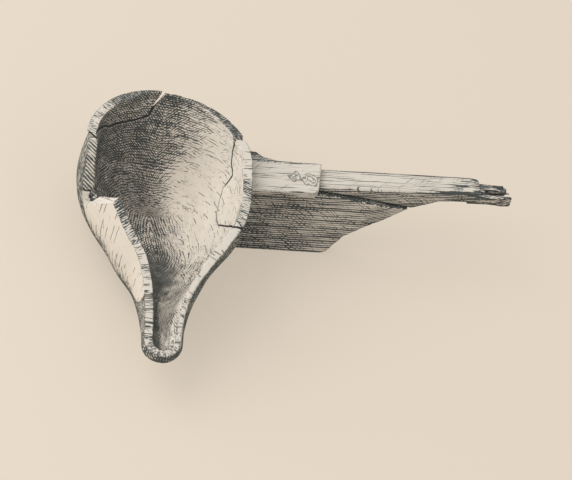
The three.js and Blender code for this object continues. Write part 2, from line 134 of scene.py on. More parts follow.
@dataclass(frozen=True)
class VesselForm:
    """The vessel as it was carved, before it broke. Its spout points to -Y in its own frame."""

    radius: float = 0.0765
    back: float = 0.0735
    rim: float = 0.097
    wall: float = 0.009
    floor: float = 0.010
    belly: float = 0.0015
    belly_share: float = 0.7
    foot_share: float = 0.36
    outer_roundness: float = 3.0
    inner_roundness: float = 2.4
    skew: float = 8.4
    flank: float = 0.205
    tip: float = 0.020
    tip_lip: float = 0.009
    tip_depth: float = 0.014
    rim_dip: float = 0.042
    left_belly: float = 0.0025
    left_belly_end: float = 0.090
    thin_rim: float = 0.0018
    thin_bearing: float = 95.0
    thin_spans: Span = (30.0, 62.0)
    flare_share: float = 0.35
    cheek: float = 0.008
    cheek_span: Span = (0.115, 0.165)
    cheek_end: float = 0.195
    spout_ridge: float = 0.0045
    flank_roundness: Span = (2.7, 1.6)
    rounding_span: Span = (0.020, 0.110)
    rim_dip_start: float = 0.050
    keel_rise_start: float = 0.045
    keel_pull: Span = (0.55, 0.87)
    channel_floor_share: float = 0.12
    left_shares: tuple[float, ...] = (1, 0.98, 0.882, 0.712, 0.549, 0.346, 0.255, 0.216, 0.209)
    right_shares: tuple[float, ...] = (1, 1, 0.987, 0.918, 0.745, 0.53, 0.34, 0.262, 0.245)
    arc_steps: int = 44
    flank_steps: int = 96
    tip_steps: int = 16
    wall_rows: int = 40
    floor_rows: int = 8

    @property
    def reach(self) -> float:
        """How far the tip is from the bowl's axis."""
        return self.flank + self.tip

    @property
    def turn(self) -> Matrix:
        """The turn that takes the vessel's own frame to the ladle's."""
        return Matrix.Rotation(-math.radians(self.skew), 3, "Z")

    def half_width(self, shares: tuple[float, ...], place: np.ndarray) -> np.ndarray:
        """Half width of the rim at a place along the flank.

        Args:
            shares: Widths at even places, as shares of the bowl's radius.
            place: Places between 0 at the bowl's middle and 1 at the start of the tip.

        Returns:
            Half widths on a smooth curve through the given ones.
        """
        given = np.array(shares)
        at = np.clip(place, 0, 1) * (len(given) - 1)
        low = np.minimum(at.astype(int), len(given) - 2)
        weight = at - low
        before = given[np.maximum(low - 1, 0)]
        start, end = given[low], given[low + 1]
        after = given[np.minimum(low + 2, len(given) - 1)]
        slope_in, slope_out = (end - before) / 2, (after - start) / 2
        cubic = (2 * start - 2 * end + slope_in + slope_out) * weight**3
        square = (3 * end - 3 * start - 2 * slope_in - slope_out) * weight**2
        return self.radius * (cubic + square + slope_in * weight + start)

    def stations(self) -> tuple[np.ndarray, np.ndarray, np.ndarray]:
        """Y, left X and right X of the rim's outer edge, from the back of the bowl to the tip.

        Returns:
            Y, left X and right X of each station.
        """
        arc = np.arange(self.arc_steps) / self.arc_steps * math.pi / 2
        place = np.arange(self.flank_steps) / self.flank_steps
        end = np.arange(self.tip_steps + 1) / self.tip_steps * math.pi / 2
        left_end = self.half_width(self.left_shares, np.array([1.0]))[0]
        right_end = self.half_width(self.right_shares, np.array([1.0]))[0]
        middle, half = (right_end - left_end) / 2, (right_end + left_end) / 2
        y = np.concatenate([self.back * np.cos(arc), -self.flank * place, -self.flank - self.tip * np.sin(end)])
        left = np.concatenate(
            [-self.radius * np.sin(arc), -self.half_width(self.left_shares, place), middle - half * np.cos(end)]
        )
        right = np.concatenate(
            [self.radius * np.sin(arc), self.half_width(self.right_shares, place), middle + half * np.cos(end)]
        )
        return y, left, right

    def cheek_share(self, y: np.ndarray) -> np.ndarray:
        """How much of the spout's cheek there is, from the throat to the tip."""
        return smoothstep(-y, *self.cheek_span) * fade(-y, self.cheek_end, self.reach)

    def rim_width(self, x: np.ndarray, y: np.ndarray, middle: np.ndarray) -> np.ndarray:
        """How far the inner edge of the rim is from the outer one.

        Args:
            x: X of each point of the rim.
            y: Y of each point of the rim.
            middle: X of the spout's middle at each point.

        Returns:
            The width of the rim at each point.
        """
        past = np.degrees(np.arctan2(y, x)) - self.thin_bearing
        to_left, to_right = self.thin_spans
        full = np.maximum(smoothstep(past, 0, to_left), smoothstep(-past, 0, to_right))
        back = blend(self.thin_rim, self.wall, full)
        ridge = blend(self.wall, self.spout_ridge, self.cheek_share(y))
        return np.where(y > 0, back, np.where(x > middle, ridge, self.wall))

    def loop(self, inner_share: float | None = None) -> dict[str, np.ndarray]:
        """The rim's outline as one counterclockwise loop.

        Args:
            inner_share: For the inside, the share of the drop that the loop is drawn in for. None is the outside.

        Returns:
            X, Y, the station's Y and middle, and the length around, for each point.
        """
        y, left, right = self.stations()
        middle = (left + right) / 2
        around = np.concatenate([[0], np.cumsum(np.hypot(np.diff(y), np.diff(right)))])
        inner = slice(-2, 0, -1)
        x_all = np.concatenate([left, right[inner]])
        y_all = np.concatenate([y, y[inner]])
        middle_all = np.concatenate([middle, middle[inner]])
        out_x = np.roll(y_all, -1) - np.roll(y_all, 1)
        out_y = np.roll(x_all, 1) - np.roll(x_all, -1)
        length = np.hypot(out_x, out_y)
        inset = 0.0
        if inner_share is not None:
            full = smoothstep(inner_share, 0, self.flare_share)
            inset = blend(self.rim_width(x_all, y_all, middle_all), self.wall, full)
        return {
            "x": x_all - inset * out_x / length,
            "y": y_all - inset * out_y / length,
            "station": y_all,
            "middle": middle_all,
            "around": np.concatenate([around, around[inner]]),
        }

    def rim_height(self, y: np.ndarray) -> np.ndarray:
        """Height of the rim, which dips along the spout."""
        return self.rim - self.rim_dip * smoothstep(-y, self.rim_dip_start, self.reach)

    def underside_height(self, y: np.ndarray) -> np.ndarray:
        """Height of the keel line under the vessel."""
        rise = self.rim - self.rim_dip - self.tip_depth
        return rise * smoothstep(-y, self.keel_rise_start, self.reach)

    def channel_height(self, y: np.ndarray) -> np.ndarray:
        """Height of the floor inside the vessel."""
        rise = self.rim - self.rim_dip - self.tip_lip - self.floor
        return self.floor + rise * smoothstep(-y, self.keel_rise_start, self.reach)

    def roundness(self, loop: dict[str, np.ndarray], keel_x: np.ndarray, inside: bool) -> np.ndarray:
        """How square the wall's curve is under each point of the rim.

        Args:
            loop: The rim's outline on this side of the wall.
            keel_x: X of the keel line for each point.
            inside: Whether the curve is on the inside of the wall.

        Returns:
            2 for an oval curve, and more for a squarer one.
        """
        if inside:
            return np.full_like(keel_x, self.inner_roundness)
        left, right = self.flank_roundness
        right_here = blend(right, left, smoothstep(-loop["station"], self.flank, self.reach))
        flank = np.where(loop["x"] > keel_x, right_here, left)
        return blend(self.outer_roundness, flank, smoothstep(-loop["station"], *self.rounding_span))

    def ring(self, loop: dict[str, np.ndarray], share: float, inside: bool) -> np.ndarray:
        """One ring of the wall.

        Args:
            loop: The rim's outline on this side of the wall.
            share: Share of the way from the rim, at 0, to the foot, at 1. Above 1 the ring closes in on the keel line.
            inside: Whether the ring is on the inside of the wall.

        Returns:
            One row of X, Y and Z for each point of the ring.
        """
        along = np.minimum(0, loop["station"])
        pull = blend(self.keel_pull[0], self.keel_pull[1], -along / self.reach)
        keel_x, keel_y = np.where(along < 0, loop["middle"], 0.0), along * pull
        power = 2 / self.roundness(loop, keel_x, inside)
        last = np.arccos((self.channel_floor_share if inside else self.foot_share) ** (1 / power))
        angle = min(share, 1.0) * last
        width = np.cos(angle) ** power * max(0.0, min(1.0, 2.0 - share))
        drop = np.sin(angle) ** power / np.sin(last) ** power
        span_x, span_y = loop["x"] - keel_x, loop["y"] - keel_y
        swell = 0.0
        if not inside and share <= 1.0:
            cheek = self.cheek * self.cheek_share(loop["y"]) * np.clip(span_x / self.cheek, 0, 1)
            fading = fade(-loop["y"], 0, self.left_belly_end)
            belly = self.belly + self.left_belly * fading * np.clip(-span_x / self.radius, 0, 1)
            bulge = math.sin(math.pi * min(1.0, share / self.belly_share))
            swell = (belly + cheek) * bulge / np.hypot(span_x, span_y)
        reach = width + swell
        y = keel_y + span_y * reach
        top = self.rim_height(loop["y"])
        bottom = self.channel_height(y) if inside else self.underside_height(keel_y)
        return np.stack([keel_x + span_x * reach, y, top - (top - bottom) * drop], axis=1)

    def rings(self) -> tuple[np.ndarray, np.ndarray]:
        """Every ring from the keel line, up the outside and down the inside, and whether it is inside.

        Returns:
            The points of every ring, and for each ring 1 where it is inside and 0 where it is outside.
        """
        shares = np.concatenate(
            [np.arange(self.wall_rows + 1) / self.wall_rows, 1 + np.arange(1, self.floor_rows + 1) / self.floor_rows]
        )
        outside = self.loop()
        rows = [self.ring(outside, share, False) for share in shares[::-1]]
        rows += [self.ring(self.loop(share), share, True) for share in shares]
        return np.array(rows), np.repeat([0.0, 1.0], len(shares))


class CarvedSkin:
    """A fine skin over the whole carved form, that fragments are laid onto and measured by."""

    def __init__(self, form: VesselForm) -> None:
        """Builds the skin of a vessel with the sizes of the form.

        Args:
            form: The sizes of the vessel.
        """
        rows, inside = form.rings()
        row_count, ring_count = rows.shape[:2]
        mesh = bmesh.new()
        bmesh.ops.create_grid(mesh, x_segments=ring_count, y_segments=row_count - 1, size=1.0)
        mesh.verts.ensure_lookup_table()
        spots = np.array([vert.co for vert in mesh.verts])
        column = np.rint((spots[:, 0] + 1) / 2 * ring_count).astype(int) % ring_count
        row = np.rint((spots[:, 1] + 1) / 2 * (row_count - 1)).astype(int)
        turn = np.array(form.turn)
        places = rows[row, column] @ turn.T
        for vert, place in zip(mesh.verts, places):
            vert.co = place
        bmesh.ops.triangulate(mesh, faces=mesh.faces)
        steps = np.linalg.norm(np.diff(rows, axis=0), axis=2)
        depth = np.vstack([np.zeros(ring_count), np.cumsum(steps, axis=0)])
        rim_row = row_count // 2
        outer = depth[rim_row - 1] - depth
        inner = depth - depth[rim_row]
        down = np.where(np.arange(row_count)[:, None] < rim_row, outer, inner)
        around = form.loop()["around"]
        self.marks = np.stack([around[column], down[row, column], inside[row]], axis=1)
        self.corners = np.array([[vert.index for vert in face.verts] for face in mesh.faces])
        self.places = places
        self.tree = BVHTree.FromBMesh(mesh)
        mesh.free()

    def lay(self, points: np.ndarray) -> tuple[np.ndarray, np.ndarray, np.ndarray]:
        """Finds the nearest places on the skin.

        Args:
            points: One row of X, Y and Z for each point.

        Returns:
            The nearest places, how far off each is, and the skin's marks there: around, down and inside.
        """
        found = [self.tree.find_nearest(Vector(point)) for point in points]
        near = np.array([hit[0] for hit in found])
        faces = self.corners[[hit[2] for hit in found]]
        far = np.array([hit[3] for hit in found])
        a, b, c = (self.places[faces[:, corner]] for corner in range(3))
        whole = np.linalg.norm(np.cross(b - a, c - a), axis=1) + 1e-15
        at_a = np.linalg.norm(np.cross(b - near, c - near), axis=1) / whole
        at_b = np.linalg.norm(np.cross(c - near, a - near), axis=1) / whole
        weights = np.stack([at_a, at_b, np.clip(1 - at_a - at_b, 0, 1)], axis=1)
        marks = np.einsum("pc,pcm->pm", weights, self.marks[faces])
        return near, far, marks


@dataclass(frozen=True)
class Splinter:
    """A sliver of wood that stands out along X from a broken end."""

    root: Place
    tip: Place
    thickness: float
    bluntness: float = 0.5
    flatness: float = 0.6
    sides: int = 5

    def add_to(self, shape: bmesh.types.BMesh) -> None:
        """Adds the sliver to a mesh, as a flattened cone from its root to its tip.

        Args:
            shape: The mesh.
        """
        start, end = Vector(self.root), Vector(self.tip)
        along = end - start
        turn = along.to_track_quat("Z", "Y").to_matrix().to_4x4()
        flat = Matrix.Diagonal((1.0, self.flatness, 1.0, 1.0))
        place = Matrix.Translation((start + end) / 2) @ turn @ flat
        bmesh.ops.create_cone(
            shape,
            cap_ends=True,
            cap_tris=True,
            segments=self.sides,
            radius1=self.thickness,
            radius2=self.thickness * self.bluntness,
            depth=along.length,
            matrix=place,
        )


def node_places(name: str) -> np.ndarray:
    """Every corner of a CAD node in the ladle's frame, as a row of X, Y and Z."""
    node = bpy.data.objects[name]
    return np.array([node.matrix_world @ vert.co for vert in node.data.vertices])


def node_box(name: str) -> tuple[np.ndarray, np.ndarray]:
    """The least and greatest X, Y and Z of a CAD node."""
    places = node_places(name)
    return places.min(axis=0), places.max(axis=0)


def node_tree(names: list[str]) -> BVHTree:
    """A tree of the faces of several CAD nodes, to measure distances with.

    Args:
        names: Names of the nodes.

    Returns:
        The tree.
    """
    places, faces = [], []
    for name in names:
        base = len(places)
        places += [tuple(row) for row in node_places(name)]
        faces += [tuple(base + index for index in face.vertices) for face in bpy.data.objects[name].data.polygons]
    return BVHTree.FromPolygons(places, faces)


@dataclass
class Fragment:
    """One piece of the ladle: a copy of its CAD node, made fine, torn and marked."""

    node: str
    slot: str
    voxel: float
    seed: float
    relaxing: int = 2
    torn_by: float = 0.9 * MM
    splinters: tuple[Splinter, ...] = ()
    relax_share: float = 0.5
    edge_span: Span = (0.05, 0.22)
    wear: float = 0.3 * MM
    chips: Grain = Grain((16 * MM, 6 * MM, 6 * MM), 19.0)
    chip_least: float = 0.1
    chip_depth: float = 1.4 * MM
    broad_wear: Grain = Grain((34 * MM, 30 * MM, 30 * MM), 3.1)
    tool_marks: Grain = Grain((13 * MM, 10 * MM, 10 * MM), 7.7)
    coarse_tears: Grain = Grain((14 * MM, 4.5 * MM, 4.5 * MM), 11.3)
    fine_tears: Grain = Grain((9 * MM, 1.7 * MM, 1.7 * MM), 27.9)

    def fine_copy(self) -> bpy.types.Object:
        """A merged copy of the CAD node as small even faces, relaxed and with its slivers.

        Returns:
            The copy.
        """
        mesh = bpy.data.objects[self.node].data.copy()
        shape = bmesh.new()
        shape.from_mesh(mesh)
        bmesh.ops.remove_doubles(shape, verts=shape.verts, dist=SAME_PLACE)
        for splinter in self.splinters:
            splinter.add_to(shape)
        shape.to_mesh(mesh)
        shape.free()
        rough = bpy.data.objects.new(self.node + "_rough", mesh)
        bpy.context.scene.collection.objects.link(rough)
        remesh = rough.modifiers.new("even_faces", "REMESH")
        remesh.mode = "VOXEL"
        remesh.voxel_size = self.voxel
        depsgraph = bpy.context.evaluated_depsgraph_get()
        fine = bpy.data.meshes.new_from_object(rough.evaluated_get(depsgraph))
        bpy.data.objects.remove(rough)
        piece = bpy.data.objects.new(self.node + "_wood", fine)
        bpy.context.scene.collection.objects.link(piece)
        self.relax(piece)
        return piece

    def relax(self, piece: bpy.types.Object) -> None:
        """Smooths the small steps that even faces leave on slopes and edges.

        Args:
            piece: The piece.
        """
        shape = bmesh.new()
        shape.from_mesh(piece.data)
        for _ in range(self.relaxing):
            bmesh.ops.smooth_vert(
                shape, verts=shape.verts, factor=self.relax_share, use_axis_x=True, use_axis_y=True, use_axis_z=True
            )
        bmesh.ops.recalc_face_normals(shape, faces=shape.faces)
        shape.to_mesh(piece.data)
        shape.free()

    def rows(self, piece: bpy.types.Object, what: str) -> np.ndarray:
        """The place, as "co", or the outward direction, as "normal", of every point of the piece.

        Args:
            piece: The piece.
            what: The name that Blender has for the value.

        Returns:
            One row of X, Y and Z for each point.
        """
        flat = np.empty(len(piece.data.vertices) * 3)
        piece.data.vertices.foreach_get(what, flat)
        return flat.reshape(-1, 3)

    def move_to(self, piece: bpy.types.Object, points: np.ndarray) -> None:
        """Puts every point of the piece in a new place."""
        piece.data.vertices.foreach_set("co", points.ravel())
        piece.data.update()

    def edges(self, piece: bpy.types.Object) -> np.ndarray:
        """1 where a point stands proud of its neighbours, as along an edge, and 0 where it doesn't.

        Args:
            piece: The piece.

        Returns:
            The value of each point.
        """
        points, normals = self.rows(piece, "co"), self.rows(piece, "normal")
        ends = np.empty(len(piece.data.edges) * 2, int)
        piece.data.edges.foreach_get("vertices", ends)
        ends = ends.reshape(-1, 2)
        total, count = np.zeros_like(points), np.zeros(len(points))
        for one, other in ((0, 1), (1, 0)):
            np.add.at(total, ends[:, one], points[ends[:, other]])
            np.add.at(count, ends[:, one], 1)
        middle = total / np.maximum(count, 1)[:, None]
        proud = np.einsum("pc,pc->p", points - middle, normals) / self.voxel
        return smoothstep(proud, *self.edge_span)

    def mark(self, piece: bpy.types.Object, values: dict[Mark, np.ndarray]) -> None:
        """Keeps values for each point as attributes of the mesh.

        Args:
            piece: The piece.
            values: For each mark, its value at every point.
        """
        for what, value in values.items():
            layer = piece.data.attributes.new(what.value, "FLOAT", "POINT")
            layer.data.foreach_set("value", np.ascontiguousarray(value, dtype=np.float32))

    def torn(self, points: np.ndarray) -> np.ndarray:
        """Depth of the torn fibres on a broken face. Fibres run along X."""
        coarse, fine = self.coarse_tears.at(points, self.seed), self.fine_tears.at(points, self.seed)
        return self.torn_by * np.clip(0.5 + 0.45 * coarse + 0.35 * fine, 0, 1)

    def worn(self, points: np.ndarray, edge: np.ndarray) -> np.ndarray:
        """Depth of the gentle wear all over a piece, and of the chips along its edges.

        Args:
            points: The piece's points, one row of X, Y and Z for each.
            edge: 1 for points along an edge and 0 for the others.

        Returns:
            The depth at each point.
        """
        broad, tooled = self.broad_wear.at(points, self.seed), self.tool_marks.at(points, self.seed)
        chips = np.clip(self.chips.at(points, self.seed) - self.chip_least, 0, 1) * edge
        return self.wear * np.clip(0.5 + 0.35 * broad + 0.3 * tooled, 0, 1) + self.chip_depth * chips

    def carve(self, piece: bpy.types.Object, points: np.ndarray, normals: np.ndarray, depth: np.ndarray) -> None:
        """Takes a depth off every point, inside the box of the CAD node."""
        low, high = node_box(self.node)
        self.move_to(piece, np.clip(points - normals * depth[:, None], low, high))

    def finish(self, piece: bpy.types.Object, wood: bpy.types.Material) -> bpy.types.Object:
        """Shades and rides the finished piece, which stands for its CAD node.

        Args:
            piece: The piece.
            wood: The material of the piece.

        Returns:
            The same piece.
        """
        piece.data.materials.clear()
        piece.data.materials.append(wood)
        for face in piece.data.polygons:
            face.use_smooth = True
            face.material_index = 0
        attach(piece, "root")
        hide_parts(self.node)
        LOG.info("%s: %d faces", piece.name, len(piece.data.polygons))
        return piece


@dataclass(frozen=True)
class Shading:
    """Painted shade and tone of one fragment, from 0 for the palest wood to 1 for black.

    Outside and inside add painted shade to the tones of the wall's faces. The rim has a tone for each bearing in
    degrees.
    """

    outside: float
    inside: float
    torn: float
    rim: Curve


@dataclass(frozen=True)
class CrackPlan:
    """Where the cracks between fragments are tight and where they gape, in the vessel's own frame."""

    neck: Span = (0.095, 0.120)
    low_height: Span = (0.048, 0.056)
    low_y: Span = (-0.024, -0.018)
    under_height: Span = (0.050, 0.085)
    under_share: float = 0.6
    lower_y: Span = (0.020, 0.026)
    lower_x: Span = (0.030, 0.040)
    lower_share: float = 0.55
    gape_at: Span = (0.067, 0.025)
    gape_reach: Span = (3 * MM, 10 * MM)
    gape_height: Span = (0.085, 0.093)
    gape: float = 3.0 * MM
    tightening: float = 1.2 * MM
    farthest: float = 5 * MM

    def width(self, far: np.ndarray, own: np.ndarray, inside: np.ndarray) -> np.ndarray:
        """Turns distances to the next fragment into how far the crack seems to be.

        Args:
            far: Distance of each point to the next fragment.
            own: The points in the vessel's own frame.
            inside: 1 for points inside the vessel and 0 outside.

        Returns:
            The distances, longer where the crack is tight and shorter where it gapes.
        """
        x, y, z = own.T
        low_right = fade(z, *self.low_height) * smoothstep(y, *self.low_y) * inside
        under = (1 - inside) * fade(z, *self.under_height)
        lower = smoothstep(-y, *self.lower_y) * smoothstep(x, *self.lower_x) * inside
        tight = smoothstep(-y, *self.neck) + low_right + self.under_share * under + self.lower_share * lower
        from_gape = np.hypot(x - self.gape_at[0], y - self.gape_at[1])
        open_share = fade(from_gape, *self.gape_reach) * smoothstep(z, *self.gape_height)
        near = np.maximum(far - self.gape * open_share, 0)
        return np.minimum(near + self.tightening * np.clip(tight, 0, 1), self.farthest)


@dataclass
class VesselFragment(Fragment):
    """A fragment of the bowl and spout, laid on the carved form."""

    wear: float = 0.45 * MM
    chips: Grain = Grain((9 * MM, 9 * MM, 7 * MM), 41.0)
    chip_least: float = 0.12
    chip_depth: float = 1.8 * MM
    shading: Shading = field(kw_only=True)
    neighbours: tuple[str, ...] = field(kw_only=True)
    shift: Span = (0.0, 0.0)
    cracks: CrackPlan = CrackPlan()
    sound_span: Span = (0.45 * MM, 0.95 * MM)
    smoothing: float = 0.92
    rim_tilt: Span = (0.6, 0.85)
    rim_depth: Span = (1.0 * MM, 2.5 * MM)
    # Painted shade: the side the light comes from, and the tones for how far each face turns to it, inside and
    # outside.
    light_side: Place = (-0.85, -0.05, 0.51)
    inside_tones: Curve = (
        (-0.8, 0.76), (-0.55, 0.7), (-0.3, 0.64), (0.1, 0.62), (0.45, 0.56), (0.62, 0.4), (0.78, 0.2), (0.95, 0.1)
    )
    outside_tones: Curve = ((-0.9, 0.62), (-0.2, 0.5), (0.25, 0.26), (0.5, 0.08))
    ahead_span: Span = (0.04, 0.12)
    ahead_tone: float = 0.08
    throat_start: Span = (0.03, 0.06)
    throat_end: Span = (0.10, 0.14)
    throat_tone: float = 0.13
    spout_start: Span = (0.12, 0.17)
    spout_tone: float = 0.36
    darkest_inside: float = 0.82
    # Painted shade on faces that turn down, and the darkest that painted shade may get.
    under_tilt: Span = (0.02, 0.5)
    underside_shade: float = 0.5
    darkest_outside: float = 0.7

    def build(self, skin: CarvedSkin, form: VesselForm, wood: bpy.types.Material) -> bpy.types.Object:
        """Makes the fragment.

        Args:
            skin: The carved form that its sound faces lie on.
            form: The sizes of the carved form.
            wood: The material of the fragment.

        Returns:
            The finished piece.
        """
        piece = self.fine_copy()
        slide = np.array([*self.shift, 0.0])
        points = self.rows(piece, "co")
        near, far, marks = skin.lay(points - slide)
        around, down, inside = marks.T
        sound = fade(far, *self.sound_span)
        points = blend(points, near + slide, sound[:, None] * self.smoothing)
        self.move_to(piece, points)
        edge, normals = self.edges(piece), self.rows(piece, "normal")
        self.carve(piece, points, normals, self.worn(points, edge) + (1 - sound) * self.torn(points))
        own = points @ np.array(form.turn)
        on_rim = smoothstep(normals[:, 2], *self.rim_tilt) * fade(down, *self.rim_depth)
        # The tone is painted shade from how each face turns to the light side, with a tone by bearing on the rim.
        tone = blend(self.outside_tone(normals), self.inside_tone(own, normals), inside)
        bearing = np.degrees(np.arctan2(own[:, 1], own[:, 0]))
        tone = blend(tone, curve_at(bearing, self.shading.rim), on_rim)
        tree = node_tree(list(self.neighbours))
        apart = np.array([tree.find_nearest(Vector(point))[3] for point in points])
        rim = on_rim * sound
        self.mark(
            piece,
            {
                Mark.AROUND: around,
                Mark.DOWN: down,
                Mark.RIM: rim,
                Mark.INSIDE: inside * sound * (1 - rim),
                Mark.BROKEN: 1 - sound,
                Mark.EDGE: edge,
                Mark.TONE: np.clip(blend(self.shading.torn, tone, sound), 0, 1),
                Mark.CRACK: self.cracks.width(apart, own, inside),
            },
        )
        return self.finish(piece, wood)

    def inside_tone(self, own: np.ndarray, normals: np.ndarray) -> np.ndarray:
        """Painted shade inside: darkest where the wall turns away from the light side, darker along the spout, and in
        the throat.

        Args:
            own: The points in the vessel's own frame.
            normals: The outward direction at each point.

        Returns:
            The tone of each point.
        """
        ahead = -own[:, 1]
        throat = smoothstep(ahead, *self.throat_start) * fade(ahead, *self.throat_end)
        tone = curve_at(normals @ np.array(self.light_side), self.inside_tones) + self.shading.inside
        tone = tone + self.ahead_tone * smoothstep(ahead, *self.ahead_span) + self.throat_tone * throat
        return np.clip(tone, self.spout_tone * smoothstep(ahead, *self.spout_start), self.darkest_inside)

    def outside_tone(self, normals: np.ndarray) -> np.ndarray:
        """Painted shade outside: darker where the wall turns away from the light side, and darkest underneath."""
        tone = curve_at(normals @ np.array(self.light_side), self.outside_tones) + self.shading.outside
        return np.minimum(tone + self.underside_shade * smoothstep(-normals[:, 2], *self.under_tilt), self.darkest_outside)


@dataclass
class HandleFragment(Fragment):
    """A fragment of the handle, whose grain runs straight along X.

    Tears and shade are left out of a fragment by places beyond the handle's end.
    """

    # Painted shade by facing: tops pale, fronts darker, undersides darkest.
    top_tone: float = 0.22
    shaded_front_tone: float = 0.5
    underside_shade: float = 0.75
    back_tone: float = 0.7
    back_edge: float = 8 * MM
    torn_from: float = 1.0
    back_span: Span = (-3.5 * MM, -1.5 * MM)
    under_tilt: Span = (-0.1, 0.5)
    top_tilt: Span = (0.35, 0.8)
    torn_over: float = 8 * MM
    torn_side: float = 0.7
    torn_tilt: Span = (0.1, 0.5)
    torn_tone: Span = (0.62, 1.1)
    tear_length: float = 34 * MM
    tear_tone: float = 0.6
    grooves: Grain = Grain((60 * MM, 1.9 * MM, 1.9 * MM), 5.5)
    groove_depth: float = 0.35 * MM
    streaks: Grain = Grain((38 * MM, 3.2 * MM, 3.2 * MM), 61.0)
    streak_tone: float = 0.16
    rips: Grain = Grain((20 * MM, 1.3 * MM, 1.3 * MM), 71.0)
    rip_span: Span = (0.05, 0.2)
    # Painted shadow that the block casts on the web, fading out along X.
    shaded_span: Span = (2.0, 3.0)
    shaded_tone: float = 0.0
    shaded_tilt: Span = (0.2, 0.6)

    def build(self, wood: bpy.types.Material) -> bpy.types.Object:
        """Makes the fragment.

        Args:
            wood: The material of the fragment.

        Returns:
            The finished piece.
        """
        piece = self.fine_copy()
        points, normals = self.rows(piece, "co"), self.rows(piece, "normal")
        broken = smoothstep(points[:, 0], self.torn_from, self.torn_from + self.torn_over)
        broken = broken * blend(self.torn_side, 1.0, smoothstep(np.abs(normals[:, 0]), *self.torn_tilt))
        edge = self.edges(piece)
        grooves = np.clip(self.grooves.at(points, self.seed), 0, 1)
        depth = self.worn(points, edge) + self.groove_depth * grooves + broken * self.torn(points)
        self.carve(piece, points, normals, depth)
        self.mark(piece, {Mark.BROKEN: broken, Mark.EDGE: edge, Mark.TONE: self.tone(points, normals, broken)})
        return self.finish(piece, wood)

    def tone(self, points: np.ndarray, normals: np.ndarray, broken: np.ndarray) -> np.ndarray:
        """How dark each point is: painted shade that is pale on top, darker in front and darkest underneath, and
        darkest in the tears.

        Args:
            points: The piece's points, one row of X, Y and Z for each.
            normals: The outward direction at each point.
            broken: 1 for points on a broken face and 0 for the others.

        Returns:
            The tone of each point.
        """
        x, y = points[:, 0], points[:, 1]
        up = normals[:, 2]
        top = blend(self.top_tone, self.back_tone, smoothstep(y - self.back_edge, *self.back_span))
        side = blend(self.shaded_front_tone, self.underside_shade, smoothstep(-up, *self.under_tilt))
        tone = blend(side, top, smoothstep(up, *self.top_tilt))
        tone = tone + self.shaded_tone * fade(x, *self.shaded_span) * fade(up, *self.shaded_tilt)
        rips = self.rips.at(points, self.seed)
        tears = smoothstep(x, self.torn_from - self.tear_length, self.torn_from) * smoothstep(rips, *self.rip_span)
        tone = tone + self.streak_tone * self.streaks.at(points, self.seed) + self.tear_tone * tears
        least, gain = self.torn_tone
        return np.clip(blend(tone, least + gain * rips, broken), 0, 1)


